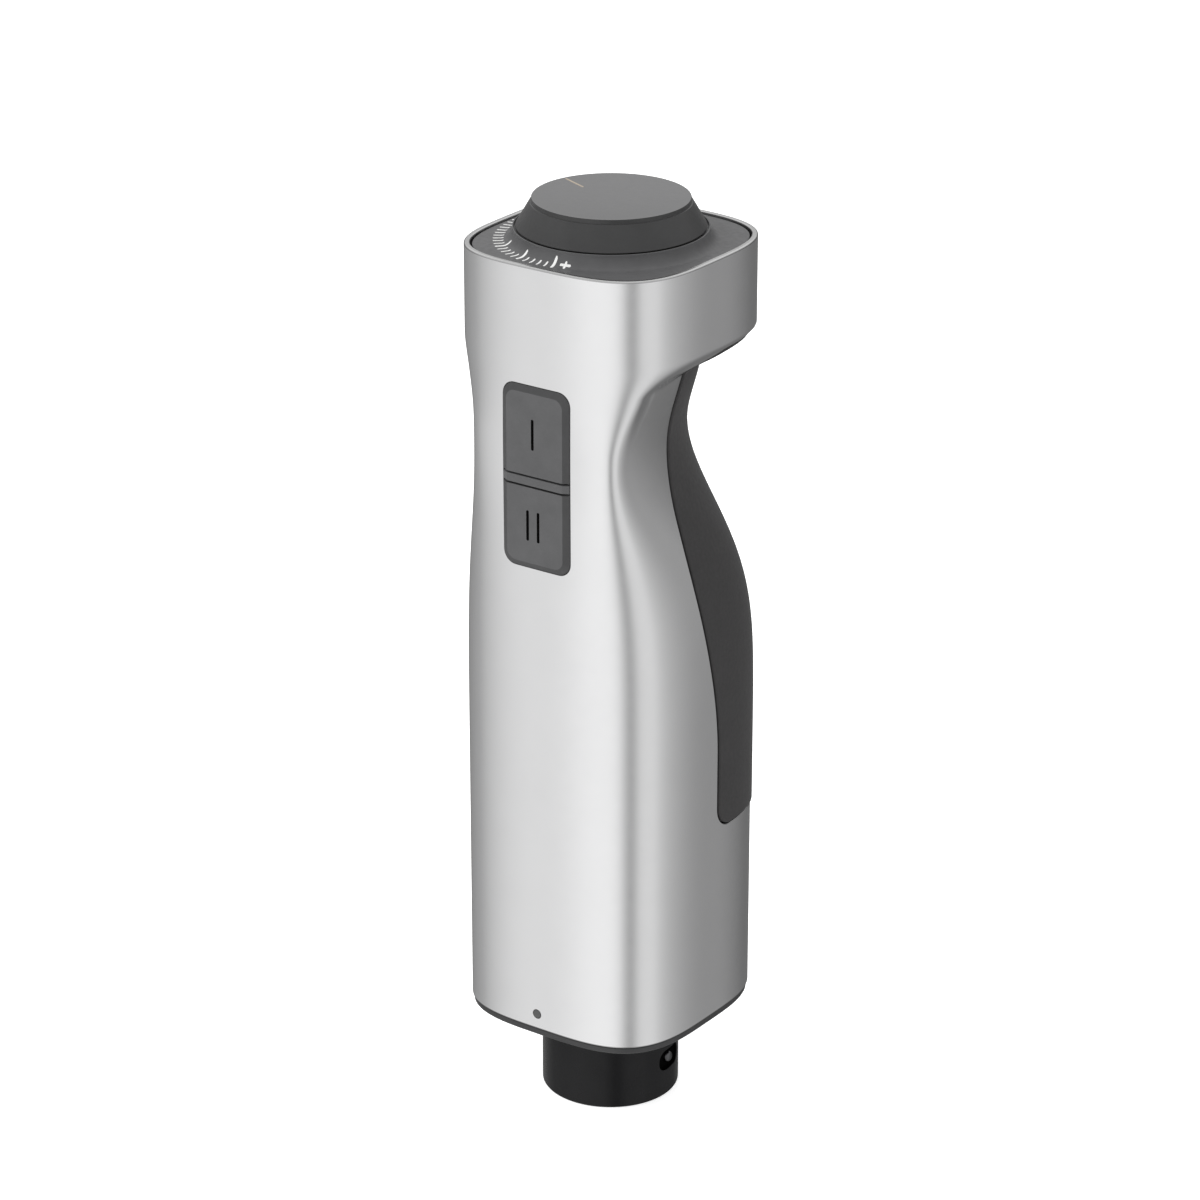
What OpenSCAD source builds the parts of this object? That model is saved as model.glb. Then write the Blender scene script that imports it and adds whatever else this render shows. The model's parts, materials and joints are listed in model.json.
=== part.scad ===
// Hand-held blender drive unit: aluminium shell on a black bayonet spigot,
// speed dial on top, two press buttons in front and a grip inlay in the finger notch.
// Frame: origin on the axis at the foot of the spigot, +Z up, front face towards -Y.

/* [Body] */
// Width and depth of the aluminium shell
body_w = 65; // [63:0.5:68]
// Height of the aluminium shell
shell_h = 212; // [208:1:220]
// Wall thickness of the shell
wall = 1.6; // [1.2:0.1:1.8]
// Squareness of the shell's outline, 2 is a circle
body_n = 3.44; // [3:0.02:4]
// Height of the black ring under the shell
ring_h = 2; // [1:0.5:3]

/* [Waist] */
// Half width of the waist
waist_w = 22.75; // [22.5:0.25:25]
// Depth of the waist behind the axis
waist_rear = 23.5; // [23:0.5:26]
// Height of the waist above the bottom of the shell
waist_up = 162; // [160:1:164]
// How far the panel in the notch stands proud
grip_proud = 0.5; // [0.2:0.1:0.8]

/* [Speed dial] */
// Diameter of the dial's top face
dial_top_d = 40.5; // [38:0.5:42]
// Diameter of the dial at its foot
dial_foot_d = 48.8; // [47.5:0.2:50]
// Height of the dial from foot to top face
dial_h = 7.6; // [6:0.2:9]
// Gap between the rim of the shell and the foot of the dial
dial_up = 3; // [2.8:0.1:3.6]
// Angle between two marks of the scale
mark_step = 4.5; // [3.5:0.1:4.5]
// Number of steps on the scale
mark_count = 42; // [30:1:42]

/* [Buttons] */
// Width of the buttons
button_w = 20.6; // [19.6:0.2:21.4]
// Height of the upper button
button_h = 23.7; // [22.5:0.1:24.5]
// Height of the lower button
lower_button_h = 22.2; // [21:0.1:23]
// Height of the bar between the two buttons
bridge_h = 2.4; // [2:0.2:3]
// How far the buttons stand out of the shell
button_proud = 1; // [0.6:0.1:1.2]
// Travel of a button
button_travel = 1; // [0.6:0.1:1]

/* [Spigot] */
// Outer diameter of the spigot
spigot_d = 37; // [36:0.5:38]
// Inner diameter of the spigot
spigot_bore_d = 30; // [29:0.5:31]
// Length of the spigot below the ring
spigot_len = 26; // [24:1:28]
// Height of the lock windows above the foot of the spigot
latch_z = 10.5; // [9:0.5:12]

/* [Drive] */
// Diameter of the motor
motor_d = 40; // [38:0.5:40]
// Length of the motor's can
motor_len = 58; // [54:1:60]
// Diameter of the drive shaft
shaft_d = 5; // [4:0.5:6]

/* [Hidden] */
$fn = 96;

// heights on the axis
body_r = body_w / 2;
shell_z = spigot_len + ring_h;
rim_z = shell_z + shell_h;
waist_z = shell_z + waist_up;
dial_z = rim_z + dial_up;
motor_z = shell_z + 8;
battery_z = motor_z + motor_len + 18;

// printed dot low on the front
dot_x = -0.85;
dot_z = shell_z + 4.5;

// shape of the notch
swell_z = waist_z - 123.3;    // where the back starts to draw in
swell_power = 5.8;
lip_z = waist_z + 18;         // underside of the head, at the throat
head_z = waist_z + 26.7;      // lower edge of the head
throat_h = 21;                // height over which the throat widens
throat_relief = 0.225;
waist_mid = -24.2;            // depth at which the waist is widest
waist_front_n = 4.25;
waist_rear_n = 2;
front_fade_z = waist_z + 2;   // where the front starts to widen into the head
side_from = 0.276;            // the front's shape fades in ahead of this direction
side_to = -0.95;
panel_t = 2;                  // thickness of the grip panel under the shell's surface
panel_gap = 0.3;
notch_z = shell_z + 54;       // lower end of the panel's opening
notch_y = 2.6;                // front edge of the opening, at its lower end
notch_r = 6;
ring_step = 7.5;
seg = 64;

// buttons
front_y = -body_r;
button_gap = 0.3;
window_gap = 0.15;                                        // room round the buttons
buttons_z0 = waist_z - 30.1;                              // foot of the lower button
bridge_z = buttons_z0 + lower_button_h + button_gap;      // foot of the bar
upper_z = bridge_z + bridge_h + button_gap;               // foot of the upper button
buttons_h = upper_z + button_h - buttons_z0;
corner_r = 3.6;
face_y = front_y - button_proud;
chamfer = 1.4;
lower_key = [buttons_z0, lower_button_h];
upper_key = [upper_z, button_h];
mark_x = -0.5;
mark_shift = 0.65;            // the marks stand nearer to the bar than to the outer ends
mark_h = 8.2;
mark_w = 0.8;
mark_apart = 1.65;
function key_middle(key) = key[0] + key[1] / 2;

skirt_y = front_y + 2.1;      // back of the buttons
deck_y = front_y + 3.3;       // front of the plate that carries them
deck_t = 1.2;
switch_y = front_y + 4.9;
board_y = front_y + 7.9;
board_t = 1.6;
board_z = waist_z - 32;
board_holes = [board_z + 3, board_z + 53];
stem_r = 1.8;

// top
plate_z = rim_z - 0.6;
plate_t = 2;
plate_r = body_r - wall - 0.35;
collar_r = dial_foot_d / 2 + 0.7;
collar_h = dial_z - plate_z;
fillet_r = 3;
lip_w = 0.35;                 // the lip that stands round the dial's foot
lip_h = 0.7;
collar_bore_r = 20.5;
mark_t = 0.12;
mark_lift = 0.02;             // the print lies clear of the plate's facets
scale_start = -86.8;          // direction of the highest mark
plus_angle = -80.1;
plus_r = 26.5;
plus_arms = [0.8, 1.1];       // the inner arm climbs the fillet
long_r = [collar_r + 0.2, 28.2];     // a long mark climbs the fillet
short_r = [collar_r + 1.2, 28.2];
spread = [0.9, 1.8];          // how much further out the inner and outer ends lie in the corner
pointer_angle = 162.5;
pointer_r = 11.7;             // inner end of the pointer
pointer_len = 7.6;
pointer_w = 0.6;
pot_z = plate_z - plate_t - 7;
pot_shaft_r = 3;

// drive
shaft_r = shaft_d / 2;
spigot_r = spigot_d / 2;
neck_r = spigot_r - 0.5;       // where the spigot passes through the ring
mouth_r = spigot_bore_d / 2;
wall_seam = 60;                // the seam of the wall lies clear of the windows
latch_turn = 7;                // direction of the right-hand lock window
window_w = 10;
window_h = 6;
window_r = 2.7;
window_deep = 1.4;
pin_r = 1.6;
hub_r = 6;
coupling_r = 5.4;
hub_z = spigot_len - 2;
screw_r = 22;                 // circle of the screws that hold the spigot
can_t = 1;                    // wall of the motor's can
plunger_y = front_y + 3.8;    // where the buttons' stems meet the switch plungers
fit = 0.03;

function smooth(u) = let (c = min(1, max(0, u))) c * c * (3 - 2 * c);
function spow(v, p) = sign(v) * pow(abs(v), p);

// unit direction on a superellipse, spread evenly by polar angle
function unit(a) =
    let (c = spow(cos(a), body_n / 2), s = spow(sin(a), body_n / 2), l = sqrt(c * c + s * s))
    [c / l, s / l];

// outline of the straight part and of the waist, both drawn in by inset
function square_pt(u, inset) =
    (body_r - inset) * [spow(u[0], 2 / body_n), spow(u[1], 2 / body_n)];
function waist_pt(u, inset) =
    let (n = u[1] < 0 ? waist_front_n : waist_rear_n,
        d = u[1] < 0 ? body_r + waist_mid : waist_rear - waist_mid)
    [(waist_w - inset) * spow(u[0], 2 / n), waist_mid + (d - inset) * spow(u[1], 2 / n)];

// how much of the waist's outline there is at height z: at the front it fades in
// gently above the waist, at the back it ends under the lip of the head
function below(z) = pow(smooth((z - swell_z) / (waist_z - swell_z)), swell_power);
function above_front(z) = 1 - smooth((z - front_fade_z) / (head_z - front_fade_z));
function above_rear(z) = (1 - throat_relief * smooth((z - waist_z) / throat_h))
    * (1 - smooth((z - lip_z) / (head_z - lip_z)));
function weight(z, u) =
    let (f = smooth((side_from - u[1]) / (side_from - side_to)))
    z < waist_z ? below(z) : above_rear(z) * (1 - f) + above_front(z) * f;

function shell_pt(z, a, inset) =
    let (u = unit(a), m = weight(z, u), p = square_pt(u, inset) * (1 - m) + waist_pt(u, inset) * m)
    [p[0], p[1], z];

// heights of the rings of points between two levels, close together under the head
swell_levels = [for (i = [0:11]) waist_z - 82 + i * ring_step];
throat_levels = [for (i = [1:3]) waist_z + i * 5.5];
lip_levels = [for (i = [0:6]) lip_z + i * (head_z - lip_z) / 6];
levels = concat(swell_levels, throat_levels, lip_levels);

// closed tube between an outer and an inner skin, each a list of [height, inset]
function skin(rings, a0, a1, n) =
    [for (r = rings) for (i = [0:n - 1]) shell_pt(r[0], a0 + (a1 - a0) * i / n, r[1])];

module tube_of(rings) {
    n = len(rings);
    polyhedron(skin(rings, 0, 360, seg),
        [for (r = [0:n - 1]) for (i = [0:seg - 1])
            let (j = (i + 1) % seg, s = (r + 1) % n, a = r * seg + i, b = r * seg + j,
                c = s * seg + j, d = s * seg + i)
            each [[a, c, b], [a, d, c]]]);
}

// squircle plate
module squircle(r, h) {
    linear_extrude(h) polygon([for (i = [0:119]) let (u = unit(i * 3))
        r * [spow(u[0], 2 / body_n), spow(u[1], 2 / body_n)]]);
}

// rounded rectangle standing in the front face, thickness along +Y
module front_plate(y, t, w, z, h, r) {
    translate([0, y + t, z + h / 2]) rotate([90, 0, 0]) linear_extrude(t) round_rect(w, h, r);
}
module round_rect(w, h, r) {
    square([w - 2 * r, h], center = true);
    square([w, h - 2 * r], center = true);
    for (x = [-1, 1], y = [-1, 1]) translate([x * (w / 2 - r), y * (h / 2 - r)]) circle(r, $fn = 32);
}

// side view of the opening for the grip panel, grown by g: a round lower corner, a front
// edge that bows forward below the waist, and a round top that ends under the head
function grip_front(z) = notch_y - 9.7 * smooth((z - notch_z - 22) / 64)
    + 2.4 * smooth((z - notch_z - 88) / 22);
module grip_side(g) {
    bend_z = waist_z + 6;
    top_z = head_z - 1.7;
    depth = 11.7;
    low = [for (i = [0:4]) [notch_y + notch_r * (1 - sin(i * 22.5)),
        notch_z + notch_r * (1 - cos(i * 22.5))]];
    front = [for (i = [1:12]) let (z = notch_z + notch_r + i * (bend_z - notch_z - notch_r) / 12)
        [grip_front(z), z]];
    top = [for (i = [1:5]) [grip_front(bend_z) + depth * (1 - cos(i * 18)),
        bend_z + (top_z - bend_z) * sin(i * 18)]];
    back = body_r + 8;
    offset(delta = g) polygon(concat([[back, notch_z]], low, front, top, [[back, top_z]]));
}
module grip_cut(g) {
    rotate([90, 0, 90]) translate([0, 0, -body_r - 5]) linear_extrude(body_w + 10) grip_side(g);
}

module body_shell() {
    bevel = 0.5;
    outer = concat([[shell_z, bevel], [shell_z + bevel, 0]], [for (z = levels) [z, 0]],
        [[rim_z - bevel, 0], [rim_z, bevel]]);
    inner = [for (z = [rim_z, each [for (i = [len(levels) - 1:-1:0]) levels[i]], shell_z]) [z, wall]];
    color([0.80, 0.80, 0.80]) difference() {
        tube_of(concat(outer, inner));
        grip_cut(0);
        front_plate(front_y - 2, 8, button_w + 2 * window_gap, buttons_z0 - window_gap,
            buttons_h + 2 * window_gap, corner_r);
        translate([dot_x, front_y - 1, dot_z]) rotate([-90, 0, 0]) cylinder(r = 1.25, h = 5, $fn = 32);
        translate([0, body_r - 6, shell_z + 17]) rotate([-90, 0, 0]) cylinder(r = 4.3, h = 10);
    }
}

module grip_panel() {
    grip_levels = [for (z = levels) if (z > shell_z + 60) z];
    outer = concat([[shell_z + 48, -grip_proud]], [for (z = grip_levels) [z, -grip_proud]]);
    inner = [for (i = [len(outer) - 1:-1:0]) [outer[i][0], panel_t]];
    color([0.24, 0.23, 0.24]) intersection() {
        tube_of(concat(outer, inner));
        grip_cut(-panel_gap);
    }
}

module base_ring() {
    color([0.07, 0.07, 0.07]) difference() {
        translate([0, 0, spigot_len]) squircle(body_r - 0.4, ring_h);
        translate([0, 0, spigot_len - 1]) cylinder(r = neck_r + 0.1, h = ring_h + 2);
    }
}

// ---- spigot and lock ----
module latch_place(s) {
    rotate([0, 0, latch_turn]) translate([0, 0, latch_z]) rotate([0, s * 90, 0]) children();
}
module coupling_spigot() {
    color([0.06, 0.06, 0.07]) difference() {
        union() {
            rotate([0, 0, wall_seam]) cylinder(r = spigot_r, h = spigot_len);
            cylinder(r = neck_r, h = shell_z + 0.3);
            translate([0, 0, shell_z + 0.2]) cylinder(r = 25, h = 2.8);
        }
        translate([0, 0, -1]) difference() {
            cylinder(r = mouth_r, h = hub_z + 1);
            rotate([0, 0, latch_turn]) for (s = [-1, 1])
                translate([s * 12.75 - 3.25, -4, latch_z - 4]) cube([6.5, 8, 8]);
        }
        translate([0, 0, hub_z - 1]) cylinder(r = hub_r, h = 10);
        for (s = [-1, 1]) latch_place(s) {
            translate([0, 0, spigot_r - window_deep]) linear_extrude(3)
                round_rect(window_h, window_w, window_r);
            translate([0, 0, 11]) cylinder(r = pin_r + 0.05, h = spigot_r, $fn = 48);
        }
        for (i = [0:3]) rotate([0, 0, 45 + 90 * i]) translate([screw_r, 0, shell_z]) {
            cylinder(r = 1.3, h = 6, $fn = 32);
            cylinder(r = 2.3, h = 1.5, $fn = 32);
        }
    }
}
module spigot_gasket() {
    color([0.12, 0.12, 0.12]) translate([0, 0, shell_z + 3]) difference() {
        cylinder(r = 25, h = 1.2);
        translate([0, 0, -1]) cylinder(r = 20, h = 4);
        for (i = [0:3]) rotate([0, 0, 45 + 90 * i]) translate([screw_r, 0, -1])
            cylinder(r = 1.6, h = 4, $fn = 32);
    }
}
module lock_pin(s) {
    dome_z = spigot_r - 1;
    color([0.62, 0.62, 0.63]) latch_place(s) rotate_extrude($fn = 48)
        polygon(concat([[0, 14.6], [pin_r, 14.6], [pin_r, dome_z]],
            [for (i = [1:5]) [pin_r * cos(i * 18), dome_z + 1.2 * sin(i * 18)]]));
}
module lock_spring(s) {
    color([0.7, 0.7, 0.7]) latch_place(s) difference() {
        translate([0, 0, 12.9]) cylinder(r = 1.5, h = 1.6, $fn = 48);
        translate([0, 0, 12]) cylinder(r = 0.9, h = 4, $fn = 48);
    }
}
module lock_pin_left() { lock_pin(-1); }
module lock_pin_right() { lock_pin(1); }
module lock_spring_left() { lock_spring(-1); }
module lock_spring_right() { lock_spring(1); }

// ---- drive ----
module drive_coupling() {
    color([0.1, 0.1, 0.1]) difference() {
        union() {
            translate([0, 0, 6]) cylinder(r = coupling_r, h = 16);
            for (i = [0:5]) rotate([0, 0, 60 * i]) translate([0, -1, 6]) cube([coupling_r + 1.4, 2, 13]);
        }
        translate([0, 0, 5]) cylinder(r = 3.4, h = 7, $fn = 6);
        translate([0, 0, 12]) cylinder(r = shaft_r, h = 12);
    }
}
module motor_shaft() {
    color([0.72, 0.72, 0.72]) translate([0, 0, 12]) cylinder(r = shaft_r, h = motor_z + motor_len + 2);
}
module shaft_seal() {
    color([0.15, 0.15, 0.15]) translate([0, 0, hub_z]) difference() {
        cylinder(r = hub_r, h = 1.8);
        translate([0, 0, -1]) cylinder(r = shaft_r + 0.1, h = 5);
    }
}
module lower_bearing() {
    color([0.65, 0.5, 0.3]) translate([0, 0, hub_z + 2]) difference() {
        cylinder(r = hub_r, h = 5);
        translate([0, 0, -1]) cylinder(r = shaft_r + fit, h = 8);
    }
}
module upper_bearing() {
    color([0.65, 0.5, 0.3]) translate([0, 0, motor_z + motor_len - 1]) difference() {
        cylinder(r = 5, h = 5);
        translate([0, 0, -1]) cylinder(r = shaft_r + fit, h = 8);
    }
}
module motor_can() {
    color([0.55, 0.55, 0.56]) translate([0, 0, motor_z]) difference() {
        cylinder(r = motor_d / 2, h = motor_len - 2);
        translate([0, 0, 2]) cylinder(r = motor_d / 2 - can_t, h = motor_len);
        translate([0, 0, -1]) cylinder(r = hub_r + 1, h = 4);
        for (i = [0:3]) rotate([0, 0, 45 + 90 * i]) translate([13, 0, -1]) cylinder(r = 2.5, h = 4);
    }
}
module motor_magnets() {
    color([0.25, 0.25, 0.27]) translate([0, 0, motor_z + 6]) difference() {
        cylinder(r = motor_d / 2 - can_t - 0.05, h = motor_len - 22);
        translate([0, 0, -1]) cylinder(r = motor_d / 2 - 4.4, h = motor_len);
        translate([-3, -motor_d, -1]) cube([6, 2 * motor_d, motor_len]);
    }
}
module rotor_core() {
    color([0.45, 0.35, 0.25]) translate([0, 0, motor_z + 8]) difference() {
        cylinder(r = motor_d / 2 - 5, h = motor_len - 26);
        translate([0, 0, -1]) cylinder(r = shaft_r, h = motor_len);
        for (i = [0:4]) rotate([0, 0, 72 * i]) translate([8, -1.5, -1]) cube([10, 3, motor_len]);
    }
}
module commutator() {
    color([0.72, 0.45, 0.25]) translate([0, 0, motor_z + motor_len - 16]) difference() {
        cylinder(r = 6, h = 9);
        translate([0, 0, -1]) cylinder(r = shaft_r, h = 12);
    }
}
module brush_holders() {
    color([0.6, 0.5, 0.3]) for (s = [-1, 1]) translate([s * 12.2 - 5.7, -2.5, motor_z + motor_len - 14.5])
        cube([11.4, 5, 6]);
}
module motor_end_cap() {
    color([0.16, 0.16, 0.17]) translate([0, 0, motor_z + motor_len - 2]) difference() {
        cylinder(r = motor_d / 2, h = 4);
        translate([0, 0, 1]) cylinder(r = 5, h = 6);
        translate([0, 0, -1]) cylinder(r = 4, h = 6);
        for (i = [0:5]) rotate([0, 0, 60 * i]) translate([12, 0, -1]) cylinder(r = 3, h = 6);
    }
}
module cooling_fan() {
    color([0.2, 0.2, 0.21]) translate([0, 0, motor_z + motor_len + 5]) difference() {
        union() {
            cylinder(r = 5, h = 7);
            cylinder(r = 17, h = 1);
            for (i = [0:8]) rotate([0, 0, 40 * i]) translate([4, -0.6, 0.5]) cube([13, 1.2, 6]);
        }
        translate([0, 0, -1]) cylinder(r = shaft_r, h = 12);
    }
}
module motor_cradle() {
    cradle_r = motor_d / 2 + 2;
    color([0.2, 0.2, 0.21]) translate([0, 0, shell_z + 4.2]) difference() {
        union() {
            cylinder(r = cradle_r + 3, h = 3.8);
            cylinder(r = cradle_r, h = motor_len + 18);
            for (a = [30, 150, 210, 330]) rotate([0, 0, a]) translate([cradle_r - 1, -1, 0])
                cube([(body_r - wall) * 1.06 - cradle_r + 1, 2, motor_len + 10]);
        }
        translate([0, 0, 3.8]) cylinder(r = motor_d / 2 + 0.1, h = motor_len + 20);
        translate([0, 0, -1]) cylinder(r = hub_r + 1, h = 8);
        for (i = [0:3]) rotate([0, 0, 45 + 90 * i]) translate([screw_r, 0, -1])
            cylinder(r = 1.3, h = 4, $fn = 32);
    }
}
module frame_screws() {
    color([0.6, 0.6, 0.62]) for (i = [0:3]) rotate([0, 0, 45 + 90 * i])
        translate([screw_r, 0, shell_z + 0.3]) union() {
            cylinder(r = 1.25, h = 6, $fn = 32);
            cylinder(r = 2.2, h = 1.2, $fn = 32);
        }
}

// ---- battery and electronics ----
module battery_cells() {
    color([0.2, 0.45, 0.65]) for (s = [-1, 1]) translate([s * 9.3, -7, battery_z + 1.5])
        union() {
            cylinder(r = 9, h = 64);
            translate([0, 0, 64]) cylinder(r = 3, h = 1);
        }
}
module battery_holder() {
    color([0.17, 0.17, 0.18]) difference() {
        union() {
            translate([-18.9, -17, battery_z]) cube([37.8, 17.5, 9]);
            translate([-18.6, -17, battery_z + 58]) cube([37.2, 15, 10]);
            translate([-6, -3, battery_z]) cube([12, 7.5, 68]);
        }
        for (s = [-1, 1]) translate([s * 9.3, -7, battery_z + 1.5]) cylinder(r = 9.15, h = 65.5);
    }
}
module control_board() {
    color([0.12, 0.35, 0.2]) difference() {
        translate([-14, board_y, board_z]) cube([28, board_t, 56]);
        for (x = [-1, 1], z = board_holes) translate([x * 11, board_y - 1, z]) rotate([-90, 0, 0])
            cylinder(r = 1.1, h = 4, $fn = 32);
    }
}
module board_screws() {
    color([0.6, 0.6, 0.62]) for (x = [-1, 1], z = board_holes)
        translate([x * 11, board_y + board_t, z]) rotate([90, 0, 0]) union() {
            cylinder(r = 1.05, h = 5.4, $fn = 32);
            translate([0, 0, -1.4]) cylinder(r = 2, h = 1.4, $fn = 32);
        }
}
module heat_sink() {
    color([0.7, 0.7, 0.72]) translate([-8, -19.5, waist_z + 2]) union() {
        translate([0, -3.5, 0]) cube([16, 2, 18]);
        for (i = [0:4]) translate([i * 3.6, -2, 0]) cube([1.6, 6, 18]);
    }
}
module switch_body(z) {
    translate([-3.5, switch_y, z - 3.5]) difference() {
        cube([7, board_y - switch_y, 7]);
        translate([3.5, -1, 3.5]) rotate([-90, 0, 0]) cylinder(r = 1.5, h = 3.4, $fn = 48);
    }
}
module switch_bodies() {
    color([0.1, 0.1, 0.1]) {
        switch_body(key_middle(lower_key));
        switch_body(key_middle(upper_key));
    }
}
module switch_plunger(z) {
    color([0.75, 0.2, 0.15]) translate([0, plunger_y, z]) rotate([-90, 0, 0])
        cylinder(r = 1.2, h = 2.1, $fn = 48);
}
module switch_plunger_one() { switch_plunger(key_middle(upper_key)); }
module switch_plunger_two() { switch_plunger(key_middle(lower_key)); }

// ---- buttons ----
module button_frame() {
    color([0.30, 0.30, 0.31]) difference() {
        union() {
            translate([-13, deck_y, buttons_z0 - 2]) cube([26, deck_t, buttons_h + 4]);
            for (s = [-1, 1]) translate([s * 12.4 - 0.6, front_y + 2.6, buttons_z0 - 2])
                cube([1.2, 1.5, buttons_h + 4]);
            for (x = [-1, 1], z = board_holes) translate([x * 11, deck_y, z]) rotate([-90, 0, 0])
                cylinder(r = 2.5, h = board_y - deck_y, $fn = 32);
            translate([-button_w / 2, front_y + 0.3, bridge_z]) cube([button_w, 3.4, bridge_h]);
            translate([0, front_y, bridge_z]) rotate([180, 0, 0]) mirror([0, 0, 1])
                linear_extrude(bridge_h) polygon([[-button_w / 2, -0.4], [button_w / 2, -0.4],
                    [button_w / 2, 0.1], [button_w / 2 - chamfer, button_proud],
                    [chamfer - button_w / 2, button_proud], [-button_w / 2, 0.1]]);
        }
        for (key = [lower_key, upper_key]) translate([0, deck_y - 1, key_middle(key)]) rotate([-90, 0, 0]) {
            cylinder(r = stem_r + 0.3, h = 5, $fn = 48);
            cylinder(r = 3.3, h = 1.8, $fn = 48);
        }
        for (x = [-1, 1], z = board_holes) translate([x * 11, deck_y + 0.6, z]) rotate([-90, 0, 0])
            cylinder(r = 1.1, h = 6, $fn = 32);
    }
}
module button_seal() {
    color([0.12, 0.12, 0.12]) difference() {
        front_plate(front_y + 2.1, 0.4, 26, buttons_z0 - 2, buttons_h + 4, 3);
        front_plate(front_y + 1, 3, button_w + 0.6, buttons_z0 - 0.3, buttons_h + 0.6, corner_r);
    }
}
// outline of a button in the front face: round corners on the outer end only
module button_outline(h, inset, flip) {
    w = button_w / 2 - inset;
    r = corner_r - inset * 0.6;
    mirror([0, flip ? 1 : 0]) translate([0, -h / 2]) union() {
        translate([-w, 0]) square([2 * w, h - inset - r]);
        translate([-w + r, h - inset - r - 0.01]) square([2 * (w - r), r + 0.01]);
        for (s = [-1, 1]) translate([s * (w - r), h - inset - r]) circle(r, $fn = 32);
    }
}
module button(key, flip) {
    h = key[1];
    color([0.40, 0.40, 0.41]) difference() {
        translate([0, 0, key_middle(key)]) rotate([90, 0, 0]) union() {
            translate([0, 0, body_r - 0.5]) hull() {
                linear_extrude(0.7) button_outline(h, 0, flip);
                translate([0, 0, 0.5 + button_proud - 0.1]) linear_extrude(0.1)
                    button_outline(h, chamfer, flip);
            }
            translate([0, 0, -skirt_y]) linear_extrude(body_r + skirt_y - 0.45)
                button_outline(h, 0, flip);
            translate([0, 0, -plunger_y]) cylinder(r = stem_r, h = 3, $fn = 48);
        }
        mark_strokes(key, flip, -0.1, 0.4);
    }
}
// strokes in a button's face from depth back, thick deep: one on the upper button, two on the lower
module mark_strokes(key, flip, back, thick) {
    z = key_middle(key) + (flip ? mark_shift : -mark_shift) - mark_h / 2;
    for (x = flip ? [-mark_apart, mark_apart] : [0])
        translate([mark_x + x - mark_w / 2, face_y + back, z]) cube([mark_w, thick, mark_h]);
}
module mark_fill(key, flip) {
    color([0.03, 0.03, 0.03]) mark_strokes(key, flip, 0.1, 0.2);
}
module button_spring(key) {
    color([0.7, 0.7, 0.7]) translate([0, skirt_y, key_middle(key)]) rotate([-90, 0, 0]) difference() {
        cylinder(r = 2.9, h = 0.9, $fn = 48);
        translate([0, 0, -1]) cylinder(r = stem_r + 0.3, h = 3, $fn = 48);
    }
}
module button_one() { button(upper_key, false); }
module button_two() { button(lower_key, true); }
module button_mark_one() { mark_fill(upper_key, false); }
module button_mark_two() { mark_fill(lower_key, true); }
module button_spring_one() { button_spring(upper_key); }
module button_spring_two() { button_spring(lower_key); }

// ---- top plate, scale and dial ----
function plate_up(r) = r >= collar_r + fillet_r ? 0
    : collar_h - sqrt(max(0, pow(fillet_r, 2) - pow(collar_r + fillet_r - r, 2))) * collar_h / fillet_r;

module top_plate() {
    color([0.30, 0.30, 0.31]) difference() {
        union() {
            translate([0, 0, plate_z - plate_t]) squircle(plate_r, plate_t);
            translate([0, 0, plate_z]) rotate_extrude() polygon(concat([[0, -1]],
                [for (i = [0:8]) [collar_r + fillet_r * (1 - sin(i * 11.25)),
                    collar_h * (1 - cos(i * 11.25))]],
                [[collar_r - lip_w, collar_h], [collar_r - lip_w, collar_h - lip_h], [0, collar_h - lip_h]]));
            translate([0, 0, plate_z - plate_t - 6]) difference() {
                squircle(plate_r - 0.2, 6);
                translate([0, 0, -1]) squircle(plate_r - 1.8, 8);
            }
            translate([0, 0, pot_z]) cylinder(r = 13, h = 8);
        }
        translate([0, 0, pot_z + 2]) cylinder(r = 11.5, h = 9.4);
        translate([0, 0, pot_z - 1]) cylinder(r = 3.6, h = 5);
        translate([0, 0, plate_z - plate_t - 0.1]) cylinder(r = 8, h = 12);
        translate([0, 0, plate_z - plate_t + 2]) cylinder(r = collar_bore_r, h = 12);
    }
}

// one bar of the scale, from radius r0 to r1 and w wide, lying on the plate
module mark(a, r0, r1, w) {
    rotate([0, 0, a]) rotate([90, 0, 0]) translate([0, 0, -w / 2]) linear_extrude(w) polygon(concat(
        [for (i = [0:6]) let (r = r0 + (r1 - r0) * i / 6) [r, plate_up(r) + mark_lift]],
        [for (i = [6:-1:0]) let (r = r0 + (r1 - r0) * i / 6) [r, plate_up(r) + mark_lift + mark_t]]));
}
module scale_marks() {
    color([0.93, 0.93, 0.92]) translate([0, 0, plate_z]) {
        for (i = [0:mark_count]) {
            major = i <= 10 && i % 5 == 0;
            out = smooth(i / 10);
            ends = (major ? long_r : short_r) + [spread[0] * (major ? 0.5 : 1), spread[1]] * out;
            mark(scale_start - i * mark_step, ends[0], ends[1], major ? 0.75 : 0.5);
        }
        union() {
            mark(plus_angle, plus_r - plus_arms[0], plus_r + plus_arms[1], 0.6);
            mark(plus_angle, plus_r - 0.3, plus_r + 0.3, 2.5);
        }
    }
}

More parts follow.
